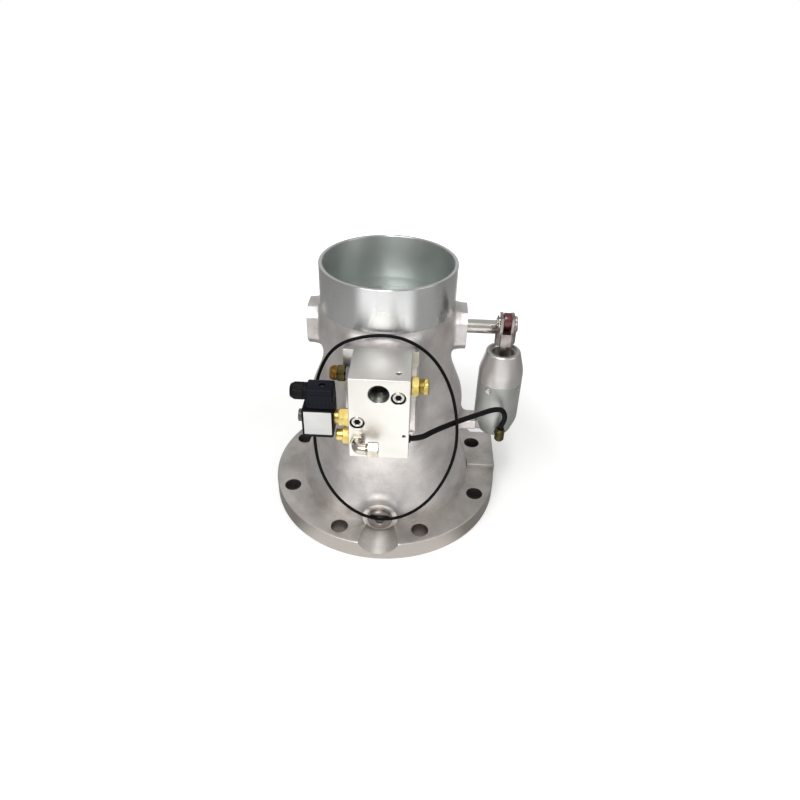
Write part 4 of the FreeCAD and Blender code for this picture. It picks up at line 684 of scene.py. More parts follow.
# inlet spigot and bore liners: one outline swept round a circle by Geometry Nodes
def sweptRingTree():
    tree, source = startTree("sweptRing", {"Middle Radius": "Float", "Wall": "Float", "Length": "Float",
                                           "Middle Height": "Float", "Edge Round": "Float"})
    path = addNode(tree, "GeometryNodeCurvePrimitiveCircle", {"Resolution": 224,
                                                              "Radius": source["Middle Radius"]}, mode="RADIUS")
    outline = addNode(tree, "GeometryNodeCurvePrimitiveQuadrilateral", {"Width": source["Wall"],
                                                                       "Height": source["Length"]},
                      mode="RECTANGLE")
    eased = addNode(tree, "GeometryNodeFilletCurve", {"Curve": outline, "Radius": source["Edge Round"],
                                                      "Count": 4}, mode="POLY")
    swept = addNode(tree, "GeometryNodeCurveToMesh", {"Curve": path, "Profile Curve": eased})
    lift = addNode(tree, "ShaderNodeCombineXYZ", {"Z": source["Middle Height"]})
    raised = addNode(tree, "GeometryNodeTransform", {"Geometry": swept, "Translation": lift})
    return endTree(tree, source, raised)


spigot = {"Middle Radius": 74.0, "Wall": 4.0, "Length": 49.0, "Middle Height": 289.0, "Edge Round": 0.9,
          "Finish": finishes["turned"]}
liner = {"Middle Radius": 72.6, "Wall": 1.2, "Length": 62.0, "Middle Height": 231.0, "Edge Round": 0.2,
         "Finish": finishes["bore"]}
# the spigot's own bore, with the finer cut that its inside shows
spigotBore = {"Middle Radius": 71.85, "Wall": 0.3, "Length": 50.8, "Middle Height": 287.4, "Edge Round": 0.1,
              "Finish": finishes["bore"]}
ringTree = sweptRingTree()
for name, sizes, finish, node in (("inletSpigot", spigot, "turned", "spigot_ring"),
                                  ("boreLiner", liner, "bore", None), ("spigotBore", spigotBore, "bore", None)):
    swept = runTree(boxSolid(origin, (1, 1, 1)), ringTree, sizes)
    addPiece(name, swept, finish, node, 30)
print("spigot made")

# shaft with its thread, seal and core plug, and the milled faces of the bosses
shaft = {"at": (0, 0, 238), "radius": 8, "end": 84, "leverLeft": 128.5, "leverRight": 136.5,
         "seal": [(84.4, 12), (89.2, 12), (89.2, 11.2), (88.5, 10.8), (88.5, 9.4), (89.1, 8.6), (88.2, 8.06),
                  (84.4, 8.06)],
         "cup": [(84.4, 0), (84.4, 12), (89.3, 12), (89.3, 10.6), (86.6, 10), (86.6, 0)],
         "faceHalf": 22.2, "faceChamfer": 9.8, "facePlace": 89.42, "faceDepth": 0.3, "faceBore": 12.1,
         "thread": (138.4, 147.2), "threadRadius": 5, "pitch": 1.5, "nutStart": 138.1, "nutLength": 8,
         "nutAcrossFlats": 17, "washerRadius": 8.5}


def makeShaftPieces(c):
    at, end, r, screw = c["at"], c["end"], c["radius"], c["threadRadius"]
    rows = ease([(-end, 0), (-end, r), (c["leverLeft"], r), (c["leverLeft"], 6), (c["leverRight"], 6),
                 (c["leverRight"], screw), (138.2, screw)], 0.6)
    rows += threadRows(*c["thread"], screw, c["pitch"], 0.5) + [(147.9, 4.2), (148.1, 3.9), (148.1, 0)]
    addPiece("butterflyShaft", spin(rows, at, toRight, 48), "ground", "butterfly_shaft",
             body="butterfly")
    seal = turnedRing(c["seal"], at, toRight, 64, 0.25)
    addPiece("lipSeal", seal, "nitrile", "shaft_lip_seal")
    addPiece("bossCorePlug", turnedSolid(c["cup"], at, toLeft, 64, 0.5), "steel",
             "boss_core_plug")
    for name, side in (("rightBossFace", 1), ("leftBossFace", -1)):
        # the collar's face is milled after casting
        face = bmesh.new()
        outline = octagon(c["faceHalf"], c["faceChamfer"], at[2])
        face.faces.new([face.verts.new((side * c["facePlace"], y, z)) for y, z in outline])
        bmesh.ops.bevel(face, geom=face.verts[:], offset=1.2, segments=2, affect="VERTICES")
        plate = bmesh.ops.extrude_face_region(face, geom=face.faces[:])
        bmesh.ops.translate(face, vec=(-side * c["faceDepth"], 0, 0),
                            verts=[v for v in plate["geom"] if isinstance(v, bmesh.types.BMVert)])
        bore = cylinder(60, 95, c["faceBore"], at, (side, 0, 0), 64)
        addPiece(name, boolean(face, bore), "turnedX")


makeShaftPieces(shaft)
for name, node, finish, slotName, width in (
        ("butterflydisc", "butterfly_disc", "disc", "disc_aluminium", 0.5),
        ("discscrews", "disc_screws", "steel", "bright_steel", 0.3)):
    addPiece(name, softenEdges(nodeCopy(node), width), finish, node, body="butterfly")
print("shaft made")

# slotted lever with its washer and nut
addPiece("slottedLever", softenEdges(nodeCopy("slotted_lever"), 0.7, 3), "enamel",
         "slotted_lever", body="butterfly")


def makeLeverNut(c):
    start, end, wide = c["nutStart"], c["nutStart"] + c["nutLength"], c["washerRadius"]
    rows = [(start, 5.0)] + hexRows(start, c["nutLength"], c["nutAcrossFlats"]) + [(end, 5.6), (145.4, 5.0)]
    addPiece("leverNut", spin(rows, c["at"], toRight, closed=True), "zinc", "lever_nut", 24,
             "butterfly")
    face = c["leverRight"]
    washer = turnedRing([(face, 5.1), (face, wide), (start, wide), (start, 5.1)], c["at"], toRight, 48)
    addPiece("leverWasher", washer, "zinc", "lever_washer", body="butterfly")


makeLeverNut(shaft)

# control block with its drillings, screws and gasket
block = {"low": (-29, -152, 164), "high": (31, -93, 258), "edge": 0.9, "front": -152,
         "port": (0.6, -152, 241.4), "portRadius": 9.3, "portPitch": 1.81,
         "screws": ((19.7, 237.8), (-20.4, 206.7)), "counterbore": 7.4, "counterboreDepth": 9.0,
         "topHole": [(-1, 0), (-1, 2.8), (0, 2.8), (0.5, 2.4), (8, 2.4), (9, 0)],
         "topPlace": (19, -138.5, 258),
         "pilot": [(-1, 0), (-1, 2.0), (0, 2.0), (0.4, 1.7), (8, 1.7), (8.6, 0)],
         "pilotPlace": (26, -152, 192.5)}


def makeBlock(c):
    r, at = c["portRadius"], c["port"]
    mouth = [(-1.0, 0), (-1.0, r + 1.9), (0.0, r + 1.4), (0.5, r + 1.0)]
    port = spin(mouth + [(20, r + 1.0), (20, 0)], at, toBack)
    rows = [(0.5, r + 0.98), (0.7, r + 0.7), (1.2, r + 0.4)]
    rows += threadRows(1.6, 17.0, r + 0.4, c["portPitch"], 0.9) + [(18, 8.6), (19.9, 7.5), (19.9, 0)]
    # the port's thread is coloured dark: painted shade inside the port
    addPiece("portThread", spin(rows, at, toBack), "thread", angle=40)
    wide, depth = c["counterbore"], c["counterboreDepth"]
    bores = [spin([(-1, 0), (-1, wide + 0.3), (0, wide + 0.3), (0.3, wide), (depth, wide), (depth, 0)],
                  (x, c["front"], z), toBack, 64) for x, z in c["screws"]]
    small = [spin(c["topHole"], c["topPlace"], downwards, 32), spin(c["pilot"], c["pilotPlace"], toBack, 32)]
    body = boolean(boxSolid(c["low"], c["high"], c["edge"]), port, *bores, *small)
    addPiece("controlBlock", body, "milled", "control_block", 30)


def makeBlockScrews(c):
    heads, dark = bmesh.new(), bmesh.new()
    rows = [(0, 0), (0, 6.1), (0.5, 6.4)] + [(t, ribbed(6.5, 36, 0.22)) for t in (0.9, 3.0, 5.2, 6.6)]
    rows += [(7.1, 6.3), (7.7, 5.7), (8, 5.2), (8, 3.9), (7.7, 3.6), (7.6, hexOf(6)), (4.2, hexOf(6)), (3.6, 0)]
    for x, z in c["screws"]:
        at = (x, c["front"] + c["counterboreDepth"], z)
        spin(rows, at, toFront, bm=heads)
        # painted shade: a dark fill in the socket, and a dark ring in the gap round the head
        spin([(4.1, 0), (4.1, hexOf(5.9)), (7.0, hexOf(5.9)), (7.0, 0)], at, toFront, bm=dark)
        spin([(2.0, 6.6), (2.0, 7.35), (7.9, 7.35), (7.4, 6.6)], at, toFront, closed=True, bm=dark)
    addPiece("blockScrews", heads, "ground", "block_screws", 30)
    addPiece("screwShadeFills", dark, "nitrile", angle=30)


makeBlock(block)
makeBlockScrews(block)
gasket = boxSolid((-29, -93, 164), (31, -92, 243.5), 0.35, 2)
addPiece("blockGasket", gasket, "nitrile", "block_gasket")
print("control block made")

# sintered silencer: Geometry Nodes scatter the bronze grains on a turned core
silencer = {"at": (-36.5, -101.8, 232), "core": [(8.4, 0), (8.4, 7.0), (13.5, 7.2), (16, 5.6), (16.4, 0)],
            "grains": {"Grain Radius": 0.62, "Spacing": 0.95, "Seed": 11, "Finish": finishes["bronze"]},
            "acrossFlats": 16.5, "adaptorAt": (-29, -101.8, 232), "adaptorAcrossFlats": 14}


def grainTree():
    tree, source = startTree("sinteredGrains", {"Grain Radius": "Float", "Spacing": "Float", "Seed": "Int"})
    points = addNode(tree, "GeometryNodeDistributePointsOnFaces", {
        "Mesh": source["Geometry"], "Distance Min": source["Spacing"], "Density Max": 6.0,
        "Seed": source["Seed"]}, distribute_method="POISSON")
    grain = addNode(tree, "GeometryNodeMeshIcoSphere", {"Radius": source["Grain Radius"], "Subdivisions": 2})
    size = addNode(tree, "FunctionNodeRandomValue", {2: 0.75, 3: 1.15, "Seed": source["Seed"]},
                   data_type="FLOAT")
    placed = addNode(tree, "GeometryNodeInstanceOnPoints", {"Points": points, "Instance": grain,
                                                            "Scale": size.outputs[1]})
    both = addNode(tree, "GeometryNodeJoinGeometry", {0: source["Geometry"]})
    tree.links.new(placed.outputs[0], both.inputs[0])
    return endTree(tree, source, both)


def makeSilencer(c):
    grains = runTree(turnedSolid(c["core"], c["at"], toLeft, 48, 1.0), grainTree(), c["grains"])
    addPiece("silencer", grains, "bronze", "silencer", 60)
    rows = [(0.2, 0), (0.2, 6.0)] + hexRows(0.6, 7.6, c["acrossFlats"]) + [(8.6, 7.4), (8.9, 0)]
    addPiece("silencerHexagon", spin(rows, c["at"], toLeft), "agedBrass", angle=24)
    rows = [(0, 0), (0, 5)] + hexRows(0.5, 7, c["adaptorAcrossFlats"])
    rows += [(7.6, 5.6), (8.4, 5.5), (9.4, 5.5), (9.4, 0)]
    adaptor = spin(rows, c["adaptorAt"], toLeft)
    addPiece("silencerAdaptor", adaptor, "steel", "silencer_adaptor", 24)


makeSilencer(silencer)

# brass plug, test fitting, hose collar, and the elbow with its nut
fittings = {"plugAt": (-29, -128, 172.5), "plugAcrossFlats": 17, "testAt": (31, -120, 232),
            "testAcrossFlats": 19, "testRibs": 40, "collarAt": (31, -134, 176),
            "collar": [(-0.5, 3.05), (-0.5, 4.5), (1.1, 4.4), (1.7, 3.9), (1.8, 3.4), (1.4, 3.05)]}
elbow = {"at": (-20, -152, 185.5), "radius": 5.4, "bend": 5.5, "straight": (4.5, 6.5, 8.5), "arm": (2.5, 4.4),
         "sides": 48, "turns": 8, "acrossFlats": 13, "nutAt": (-9, -166, 185.5), "nutAcrossFlats": 14}


def makeFittings(c):
    rows = [(0.05, 0), (0.05, 7.2), (0.6, 7.4)] + hexRows(0.8, 8.2, c["plugAcrossFlats"]) + [(9.2, 6.4)]
    rows += ease([(9.2, 6.4), (15.2, 6.5), (16, 5.7), (16, 3.2), (14.4, 2.6), (12.5, 0)], 0.3)
    addPiece("brassPlug", spin(rows, c["plugAt"], toLeft), "brass", "brass_plug", 24)
    rows = [(0.05, 0), (0.05, 8.2), (0.5, 8.6)] + hexRows(0.6, 7.4, c["testAcrossFlats"])
    rows += [(8.2, 7.3), (8.6, 6.8), (9.2, 6.5)] + threadRows(9.4, 12.2, 8.2, 1.2, 0.5)
    rows += [(12.5, 7.6), (13.0, 8.3)] + [(t, ribbed(8.5, c["testRibs"], 0.35)) for t in (13.3, 16.6)]
    rows += ease([(16.9, 8.2), (18.0, 7.2), (18.4, 5.2), (18.4, 3.6), (16.5, 3.0), (12, 0)], 0.3)
    test = spin(rows, c["testAt"], toRight, 120)
    addPiece("testFitting", test, "brass", "test_fitting", 24)
    collar = turnedRing(c["collar"], c["collarAt"], toRight, 48, 0.2)
    addPiece("hoseCollar", collar, "nylon", "hose_collar")


def makeElbow(c):
    x, y, z = c["at"]
    bend, sides = c["bend"], c["sides"]
    root = spin([(0.05, 0), (0.05, 6.2)] + hexRows(0.3, 4.7, c["acrossFlats"]) + [(5.1, 5.6), (5.1, 0)],
                c["at"], toFront)
    path = [(Vector((x, y - t, z)), Vector(toFront)) for t in c["straight"]]
    middle = Vector((x + bend, y - c["straight"][-1], z))
    for step in range(1, c["turns"] + 1):
        # the knee sweeps from the front round to the right
        angle = math.pi / 2 * step / c["turns"]
        path.append((middle + Vector((-bend * math.cos(angle), -bend * math.sin(angle), 0)),
                     Vector((math.sin(angle), -math.cos(angle), 0))))
    path += [(Vector((x + bend + t, -166, z)), Vector(toRight)) for t in c["arm"]]
    tube = bmesh.new()
    rings = []
    up = Vector(upwards)
    for centre, heading in path:
        side = heading.cross(up)
        rings.append([tube.verts.new(centre + (side * math.cos(a) + up * math.sin(a)) * c["radius"])
                      for a in (2 * math.pi * k / sides for k in range(sides))])
    for low, high in zip(rings, rings[1:]):
        for k in range(sides):
            tube.faces.new((low[k], high[k], high[(k + 1) % sides], low[(k + 1) % sides]))
    tube.faces.new(rings[0])
    tube.faces.new(rings[-1])
    neck = spin([(9.0, 0), (9.0, 5.7)] + threadRows(9.3, 11.2, 5.9, 1.0, 0.4) + [(11.4, 5.2), (11.4, 0)],
                (x, -166, z), toRight, 48)
    addPiece("elbowFitting", joined(root, tube, neck), "nickel", "elbow_fitting", 24)
    rows = [(0.3, 3.0)] + hexRows(0.3, 10.4, c["nutAcrossFlats"]) + [(10.9, 4.4), (10.3, 3.4), (7.5, 3.0)]
    nut = spin(rows, c["nutAt"], toRight, closed=True)
    addPiece("elbowNut", nut, "nickel", "elbow_nut", 24)


makeFittings(fittings)
makeElbow(elbow)
print("fittings made")

# solenoid valve: base, coil with its label, stem and nut
coil = {"low": (-78, -141, 177), "high": (-46, -109, 210), "round": 2.2, "axis": (-125, 193.5), "baseX": -29,
        "baseAcrossFlats": 17, "seams": ((208.2, 208.7), (178.3, 178.7)), "seamDepth": 0.4,
        "labelLow": (-75.4, -141.4, 181.6), "labelHigh": (-47.4, -141.0, 209.2), "nutX": -78.05, "nutRibs": 24,
        "stemEnd": -83.2}
# plug connector: gasket, housing, screw and gland
connector = {"low": (-72.6, -139, 211), "high": (-45.6, -111, 234), "edge": 1.8, "backTop": -118.5,
             "screwAt": (-57, -128.5, 0), "grips": 6, "gripSpacing": 4.2, "glandAt": (-72.6, -126.5, 224.8),
             "glandRibs": 14}


def makeSolenoid(c):
    y, z = c["axis"]
    rows = [(0.05, 0), (0.05, 7.4), (0.5, 7.6)] + hexRows(0.7, 12.3, c["baseAcrossFlats"])
    rows += [(13.3, 7.4), (16.9, 7.4), (16.9, 0)]
    addPiece("solenoidBase", spin(rows, (c["baseX"], y, z), toLeft), "brass", "solenoid_base",
             24)
    body = boxSolid(c["low"], c["high"], c["round"], 4)
    (x0, y0, z0), (x1, y1, z1), d = c["low"], c["high"], c["seamDepth"]
    for low, high in c["seams"]:
        # shallow mould seam round the coil
        outer = boxSolid((x0 - 1, y0 - 1, low), (x1 + 1, y1 + 1, high))
        body = boolean(body, boolean(outer, boxSolid((x0 + d, y0 + d, z0), (x1 - d, y1 - d, z1))))
    addPiece("coilBody", body, "nylon", "coil", 30)
    addPiece("coilLabel", boxSolid(c["labelLow"], c["labelHigh"], 0.15, 2), "film", "coil_label")
    stem = boolean(nodeCopy("solenoid_stem"), boxSolid((-100, -140, 180), (c["stemEnd"], -110, 210)))
    addPiece("solenoidStem", stem, "steel", "solenoid_stem", 30)
    grip = ribbed(6.6, c["nutRibs"], 0.4)
    rows = [(0, 0), (0, 7.3), (0.4, 7.5), (1.0, 7.5), (1.3, 7.2), (1.5, grip), (4.4, grip), (5.0, 5.8),
            (5.4, 5.0), (5.4, 0)]
    addPiece("coilNut", spin(rows, (c["nutX"], y, z), toLeft, 96), "steel", "coil_nut", 30)


def makeConnector(c):
    flat = boxSolid((-74, -139, 210), (-46, -111, 211), 0.4, 2)
    addPiece("connectorGasket", flat, "nitrile", "connector_gasket")
    shell = boxSolid(c["low"], c["high"])
    for vert in shell.verts:
        if vert.co.z > 230 and vert.co.y > -120:
            vert.co.y = c["backTop"]  # the back leans in towards the top
    shell = softenEdges(shell, c["edge"], 4)
    well = spin([(229, 0), (229, 3.3), (234.2, 3.3), (234.6, 3.7), (235, 3.7), (235, 0)], c["screwAt"], upwards,
                40)
    seam = boolean(boxSolid((-75, -140, 228.0), (-45, -110, 228.4)),
                   boxSolid((-72.2, -138.6, 211), (-46.0, -114.5, 239)))
    step = c["gripSpacing"]
    grips = [boxSolid((-70 + step * k, -139.6, 215), (-68.2 + step * k, -138.5, 226), 0.3, 2)
             for k in range(c["grips"])]
    shell = boolean(boolean(shell, well, seam), joined(*grips))
    addPiece("connectorHousing", shell, "navy", "connector_housing", 30)
    head = turnedSolid([(229, 0), (229, 3), (232.0, 3), (232.5, 2.4), (232.5, 0)], c["screwAt"], upwards, 40,
                       0.2)
    head = boolean(head, boxSolid((-60.5, -128.9, 231.5), (-53.5, -128.1, 233)))
    addPiece("connectorScrew", head, "steel", "connector_screw", 30)
    rows = [(0.0, 6.4), (0.2, 8.7), (0.6, 9.0), (2.4, 9.0), (2.8, 8.3), (3.2, 8.3), (3.4, 8.8)]
    rows += [(t, ribbed(9.0, c["glandRibs"], 0.7, 3.0)) for t in (3.8, 8.0, 12.6)]
    rows += [(13.6, 8.5), (15.8, 7.4), (16.8, 6.6), (17, 6.0), (17, 4.5), (16.6, 4.1), (11.0, 4.05),
             (0.0, 4.05)]
    gland = spin(rows, c["glandAt"], toLeft, 84, closed=True)
    addPiece("cableGland", gland, "nylon", "cable_gland", 30)


makeSolenoid(coil)
makeConnector(connector)
print("solenoid made")

# actuator: barrel, cap, vent screw and rod bush
actuator = {"at": (132.5, -20, 0), "foot": 110, "taper": 131, "seam": 183, "shoulder": 196, "top": 220,
            "radius": 25.4, "footRadius": 18, "topRadius": 19.2, "recess": 12.6, "recessFloor": 197.2,
            "bore": 17, "boreFloor": 130, "armEnd": 108.6, "studAt": (135.5, -20, 124), "dimpleTurn": -39,
            "dimpleHeight": 178, "ventTurn": -125.5, "ventHeight": 176}


def makeActuator(c):
    at, r, seam, top = c["at"], c["radius"], c["seam"], c["top"]
    outside = ease([(c["foot"], 0), (c["foot"], c["footRadius"]), (c["taper"], r), (seam - 0.5, r)], 5, 6)
    rows = []
    for (low, inner), (high, outer) in zip(outside, outside[1:]):
        parts = max(1, int((high - low) / 5))  # even rings keep the shading clean where holes are cut
        rows += [(low + (high - low) * k / parts, inner + (outer - inner) * k / parts) for k in range(parts)]
    rows += [(seam - 0.3, r), (seam - 0.05, r - 0.25), (seam - 0.05, c["bore"]), (c["boreFloor"], c["bore"]),
             (c["boreFloor"], 0)]
    barrel = boolean(spin(rows, at, upwards, 128), boxSolid((c["armEnd"], -30, 114), (119, -10, 126), 0.8, 2),
                     operation="UNION")
    turn = math.radians(c["dimpleTurn"])
    dimple = spin([(r - 1.6, 0), (r - 1.6, 2.3), (r + 3, 2.9), (r + 3, 0)], (at[0], at[1], c["dimpleHeight"]),
                  (math.cos(turn), math.sin(turn), 0), 32)
    barrel = boolean(barrel, cylinder(18.5, 40, 4.0, c["studAt"], toFront), dimple)
    addPiece("actuatorBarrel", barrel, "satin", "actuator_barrel", 35)
    crown = ease([(seam + 0.5, r), (c["shoulder"], r), (top, c["topRadius"]), (top, 14.6)], 6, 6)
    rows = [(seam + 0.05, 7.1), (seam + 0.05, r - 0.25), (seam + 0.3, r)] + crown[1:-1]
    rows += [(top, 15.4), (top - 0.4, 14.6), (top - 3, c["recess"]), (c["recessFloor"], c["recess"]),
             (c["recessFloor"], 7.1)]
    cap = spin(rows, at, upwards, 128, closed=True)
    addPiece("actuatorCap", cap, "satinCap", "actuator_cap", 35)
    bush = turnedRing([(184, 4.05), (184, 7.05), (196.9, 7.05), (196.9, 5.2), (196.2, 4.05)], at, upwards, 48)
    addPiece("rodBush", bush, "bronze", "rod_bush")
    rows = ease([(0, 0), (0, 3.5), (1.3, 4.0), (2.2, 3.6), (2.7, 2.2)], 0.3)
    screw = spin(rows + [(2.7, 1.5), (1.5, hexOf(2.5)), (0.9, 0)], origin, upwards, 48)
    out = Matrix.Rotation(math.radians(c["ventTurn"] + 90), 3, "Z") @ Vector(toFront)
    turn = Vector(upwards).rotation_difference(out).to_matrix().to_4x4()
    spot = Vector((at[0], at[1], c["ventHeight"])) + out * (r - 0.2)
    bmesh.ops.transform(screw, matrix=Matrix.Translation(spot) @ turn, verts=screw.verts)
    addPiece("ventScrew", screw, "ground", "vent_screw", 30)


makeActuator(actuator)

# fork on the piston rod, with its pin and open spring clip
linkage = {"earTop": 263.4, "at": (120.5, -20, 256.25), "clipMouth": 60, "clipPlace": (121.9, 123.1),
           "clipRadii": (3.05, 6.2), "clipParts": 32,
           "pin": [(0, 0), (0, 3.4), (0.6, 4), (1.4, 4), (1.4, 3), (2.6, 3), (2.6, 4), (20, 4), (20, 6.0),
                   (20.4, 6.4), (22.2, 6.4), (23, 5.6), (23, 2.2), (22.4, 1.8), (22.4, 0)]}


def makeLinkage(c):
    # the ears end a little above the pin, so that the lever's tip stands over them
    fork = boolean(nodeCopy("fork"), boxSolid((110, -30, c["earTop"]), (160, 30, 280)))
    addPiece("forkHead", softenEdges(fork, 0.7, 3), "zinc", "fork", 28, "actuator_rod")
    at, parts, clip = c["at"], c["clipParts"], bmesh.new()
    pin = spin(c["pin"], at, toRight, 64)
    addPiece("forkPin", pin, "ground", "fork_pin", 30, "actuator_rod")
    low, high = [], []
    turn = 360 - c["clipMouth"]
    for x, ring in zip(c["clipPlace"], (low, high)):
        for k in range(parts + 1):
            a = math.radians(-turn / 2 + turn * k / parts)
            ring.append([clip.verts.new((x, at[1] + r * math.cos(a), at[2] + r * math.sin(a)))
                         for r in c["clipRadii"]])
    for k in range(parts):
        for ring in (low, high):
            clip.faces.new((ring[k][0], ring[k + 1][0], ring[k + 1][1], ring[k][1]))
        for side in (0, 1):
            clip.faces.new((low[k][side], low[k + 1][side], high[k + 1][side], high[k][side]))
    for k in (0, parts):
        clip.faces.new((low[k][0], low[k][1], high[k][1], high[k][0]))
    addPiece("pinClip", clip, "steel", "pin_clip", 30, "actuator_rod")


makeLinkage(linkage)
print("actuator made")

# front plug in its milled seat with its washer, and the push-in elbow at the actuator's foot
frontPlug = {"at": (0, -110, 36), "seat": [(-1, 15.3), (-1, 19.9), (0.02, 19.9), (0.02, 15.3)],
             "washer": [(0, 10.4), (0, 15), (1.5, 15), (1.5, 10.4)], "key": 10,
             "head": [(-10.5, 0), (-10.5, 10.3), (1.5, 10.3), (1.5, 13.6), (1.9, 14), (4.6, 14), (5.5, 13.1),
                      (5.5, 6.6), (5.1, 6.2)]}
hoseElbow = {"studAt": (135.5, 0, 124), "acrossFlats": 10, "at": (135.5, -55, 0),
             "socket": [(118, 0), (118.6, 4.2), (120.5, 5.6), (128.2, 5.6), (128.7, 5.1), (129.2, 5.6),
                        (132.2, 5.6), (133, 5.0), (133, 4.8), (135, 4.7), (135, 3.6), (134.2, 3.05),
                        (125, 3.05), (125, 0)]}


def makeFrontPlug(c):
    at = c["at"]
    addPiece("bossFace", turnedRing(c["seat"], at, toFront, 96, 0), "milled")
    addPiece("plugWasher", turnedRing(c["washer"], at, toFront, 64, 0.4), "copper",
             "front_plug_washer")
    rows = c["head"] + [(5.0, hexOf(c["key"])), (-1.5, hexOf(c["key"])), (-2.2, 0)]
    addPiece("frontPlug", spin(rows, at, toFront), "zinc", "front_plug", 28)
    # painted shade: a dark hex fill in the plug's key socket
    socket = cylinder(-1.6, 3.2, hexOf(c["key"] - 0.1), at, toFront, 72)
    addPiece("plugSocketShade", socket, "thread", angle=28)


def makeHoseElbow(c):
    stud = cylinder(38.5, 55, 4, c["studAt"], toFront, 40)
    rows = [(45.4, 0), (45.4, 4.2)] + hexRows(46, 3.5, c["acrossFlats"]) + [(49.7, 4.2), (49.7, 0)]
    hexagon = spin(rows, c["studAt"], toFront)
    socket = spin(c["socket"], c["at"], upwards, 56)
    addPiece("hoseElbow", joined(stud, hexagon, socket), "agedBrass", "hose_elbow", 26)


makeFrontPlug(frontPlug)
makeHoseElbow(hoseElbow)

# air hose: the route's points are the source's own
hose = {"points": [(27, -134, 176), (42, -133.5, 176), (56, -116, 173.2), (82, -88.5, 166.6), (108, -69, 164.2),
                   (124, -59.6, 164.6), (134.2, -56, 162.6), (138.6, -55.2, 155.5), (139, -55.1, 146.4),
                   (135.5, -55, 138), (135.5, -55, 123)],
        "radius": 3.0, "length": 0.1777}
# flange seal ring, hung round the block and the front plug; its outline is a share of the half sizes
sealRing = {"centre": (4.6, 153.0), "half": (79.0, 113.0), "radius": 1.75, "foot": 117.55, "footHeight": 42.5,
            "topBack": 80.5,
            "outline": [(-0.235, 1.0), (-0.68, 0.896), (-0.9, 0.647), (-0.987, 0.332), (-0.997, -0.018),
                        (-0.958, -0.34), (-0.819, -0.609), (-0.559, -0.852), (-0.181, -0.998),
                        (0.222, -0.978), (0.599, -0.796), (0.865, -0.488), (0.997, -0.148), (0.978, 0.201),
                        (0.853, 0.542), (0.587, 0.835), (0.195, 0.993)]}


def roundCurve(name, points, radius, steps, sides):
    line = bpy.data.curves.new(name, "CURVE")
    line.dimensions = "3D"
    line.resolution_u = steps
    line.bevel_depth = radius
    line.bevel_resolution = sides
    spline = line.splines.new("NURBS")
    spline.points.add(len(points) - 1)
    for point, spot in zip(spline.points, points):
        point.co = (*spot, 1)
    spline.order_u = 3
    item = bpy.data.objects.new(name, line)
    collection.objects.link(item)
    return item, spline


def makeHose(c):
    points = [Vector(spot) * mm for spot in c["points"]]
    piece, spline = roundCurve("airHose", points, c["radius"] * mm, 10, 8)
    spline.use_endpoint_u = True
    piece.data.use_fill_caps = True
    piece.data.materials.append(finishes["tube"])
    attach(piece, "housing")
    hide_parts("air_hose")


def makeSealRing(c):
    (x, z), (halfX, halfZ), foot = c["centre"], c["half"], c["footHeight"]
    lean = (c["foot"] - c["topBack"]) / (z + halfZ - foot)
    points = [(x + across * halfX, -c["foot"] + (z + upward * halfZ - foot) * lean, z + upward * halfZ)
              for across, upward in c["outline"]]
    item, spline = roundCurve("sealRingLine", points, c["radius"], 14, 6)
    spline.use_cyclic_u = True
    bpy.context.view_layer.update()
    addPiece("sealRing", evaluated(item), "nitrile", "flange_seal_ring", 60)


makeHose(hose)
makeSealRing(sealRing)
print("hose and seal ring made")

# springs, copied from their CAD nodes as they are
springs = {"returnSpring": ("return_spring", "rod_slide", (0, 0, 1), (132.5, -20, 130.21), 0.249),
           "armatureSpring": ("armature_spring", "armature_slide", (1, 0, 0), (-66.75, -125, 193.5), 0.65)}
for name, (node, joint, along, fixedEnd, keep) in springs.items():
    spring = addPiece(name, nodeCopy(node), "ground", node, 60)
    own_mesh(spring)

# CAD nodes that stay: mostly inside, where their own shape is right
kept = {"actuator_stud": "ground", "left_shaft_bush": "bronze", "right_shaft_bush": "bronze",
        "armature": "steel", "piston": "turned", "piston_seal": "nitrile", "piston_rod": "ground"}
for node, finish in kept.items():
    data = nodes[node].data
    data.materials.clear()
    data.materials.append(finishes[finish])

# floor of white paper: further out it carries its own light, so that all of it looks equally white
paper = {"half": 6, "colour": "#E9E9E8", "inMetal": "#ACABA9", "glowFrom": (0.25, 0.22), "glowTo": (0.8, 1.0),
         "front": (-0.62, -0.86, 0.70), "behind": (0.80, 0.95, 0.9)}  # metres; sectors as start, end, light
# lamps and sky, in metres and watts
lamps = {"keyLamp": {"place": (-0.45, -1.1, 1.5), "aim": (0, 0, 0.15), "size": (1.1, 0.9), "power": 14},
         "fillLamp": {"place": (1.3, -0.6, 0.9), "aim": (0, 0, 0.15), "size": (0.8, 0.8), "power": 4},
         "topLamp": {"place": (0.0, -0.75, 1.75), "aim": (0, 0, 0.25), "size": (0.16, 0.6), "power": 8}}
sky = {"middle": -0.12, "near": (0.15, 0.62), "far": (1.1, 0.26)}  # brighter in the middle than at the sides


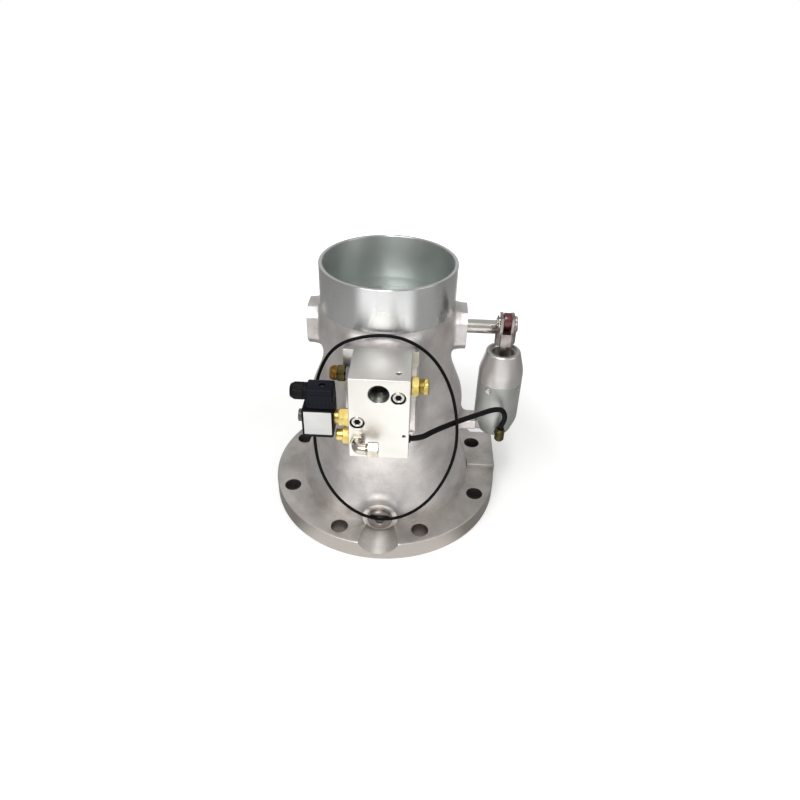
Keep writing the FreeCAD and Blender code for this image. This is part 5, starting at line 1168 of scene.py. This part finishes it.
def makeStage(c):
    bm = bmesh.new()
    bmesh.ops.create_grid(bm, x_segments=1, y_segments=1, size=c["half"])
    mesh = bpy.data.meshes.new("floor")
    bm.to_mesh(mesh)
    bm.free()
    floor = bpy.data.objects.new("floor", mesh)
    collection.objects.link(floor)
    material = bpy.data.materials.new("palePaper")
    material.use_nodes = True
    tree = material.node_tree
    tree.nodes.clear()
    ray = addNode(tree, "ShaderNodeLightPath").outputs
    place = addNode(tree, "ShaderNodeTexCoord").outputs["Object"]
    x, y = addNode(tree, "ShaderNodeSeparateXYZ", {0: place}).outputs[:2]
    flat = addNode(tree, "ShaderNodeCombineXYZ", {0: x, 1: y})
    away = addNode(tree, "ShaderNodeVectorMath", {0: flat}, operation="LENGTH").outputs["Value"]
    (near, nearGlow), (far, farGlow) = c["glowFrom"], c["glowTo"]
    glowing = addNode(tree, "ShaderNodeMapRange", {"Value": away, "From Min": near, "From Max": far,
                                                   "To Min": nearGlow, "To Max": farGlow})
    # in bright metal the floor in front and behind is lighter than at the sides
    turn = addNode(tree, "ShaderNodeMath", {0: y, 1: away}, operation="DIVIDE")
    sectors = [addNode(tree, "ShaderNodeMapRange", {"Value": turn, "From Min": start, "From Max": end,
                                                    "To Min": 0.0, "To Max": light},
                       interpolation_type="SMOOTHSTEP") for start, end, light in (c["front"], c["behind"])]
    lit = addNode(tree, "ShaderNodeMath", {0: sectors[0], 1: sectors[1]}, operation="MAXIMUM")
    shine = addNode(tree, "ShaderNodeMath", {0: ray["Is Glossy Ray"], 1: ray["Is Transmission Ray"]},
                    operation="ADD")
    inMetal = addNode(tree, "ShaderNodeMath", {0: shine, 1: lit}, operation="MULTIPLY")
    unlit = addNode(tree, "ShaderNodeMath", {0: shine, 1: inMetal}, operation="SUBTRACT", use_clamp=True)
    colour = addNode(tree, "ShaderNodeMix", {0: unlit, 6: srgb(c["colour"]), 7: srgb(c["inMetal"])},
                     data_type="RGBA")
    level = addNode(tree, "ShaderNodeMath", {0: ray["Is Camera Ray"], 1: glowing, 2: inMetal},
                    operation="MULTIPLY_ADD")
    matt = addNode(tree, "ShaderNodeBsdfDiffuse", {"Color": colour.outputs[2]})
    glow = addNode(tree, "ShaderNodeEmission", {"Color": srgb("#FFFFFF"), "Strength": level})
    both = addNode(tree, "ShaderNodeAddShader", {0: matt, 1: glow})
    addNode(tree, "ShaderNodeOutputMaterial", {"Surface": both})
    mesh.materials.append(material)


def addLamp(name, c):
    lamp = bpy.data.lights.new(name, "AREA")
    lamp.shape = "RECTANGLE"
    lamp.size, lamp.size_y = c["size"]
    lamp.energy = c["power"]
    item = bpy.data.objects.new(name, lamp)
    collection.objects.link(item)
    turn = (Vector(c["aim"]) - Vector(c["place"])).to_track_quat("-Z", "Y").to_matrix().to_4x4()
    item.matrix_world = Matrix.Translation(c["place"]) @ turn


def makeWorld(c):
    world = bpy.data.worlds.new("world")
    world.use_nodes = True
    scene.world = world
    tree = world.node_tree
    tree.nodes.clear()
    ray = addNode(tree, "ShaderNodeLightPath").outputs
    heading = addNode(tree, "ShaderNodeTexCoord").outputs["Generated"]
    across = addNode(tree, "ShaderNodeSeparateXYZ", {0: heading}).outputs["X"]
    shift = addNode(tree, "ShaderNodeMath", {0: across, 1: -c["middle"]}, operation="ADD")
    side = addNode(tree, "ShaderNodeMath", {0: shift}, operation="ABSOLUTE")
    (near, bright), (far, dim) = c["near"], c["far"]
    shade = addNode(tree, "ShaderNodeMapRange", {"Value": side, "From Min": near, "From Max": far,
                                                 "To Min": bright, "To Max": dim})
    level = addNode(tree, "ShaderNodeMath", {0: ray["Is Camera Ray"], 1: shade}, operation="MAXIMUM")
    light = addNode(tree, "ShaderNodeBackground", {"Color": srgb("#FFFFFF"), "Strength": level})
    addNode(tree, "ShaderNodeOutputWorld", {"Surface": light})


makeStage(paper)
for name, lamp in lamps.items():
    addLamp(name, lamp)
makeWorld(sky)
scene.view_settings.view_transform = "Standard"
print("stage lit")
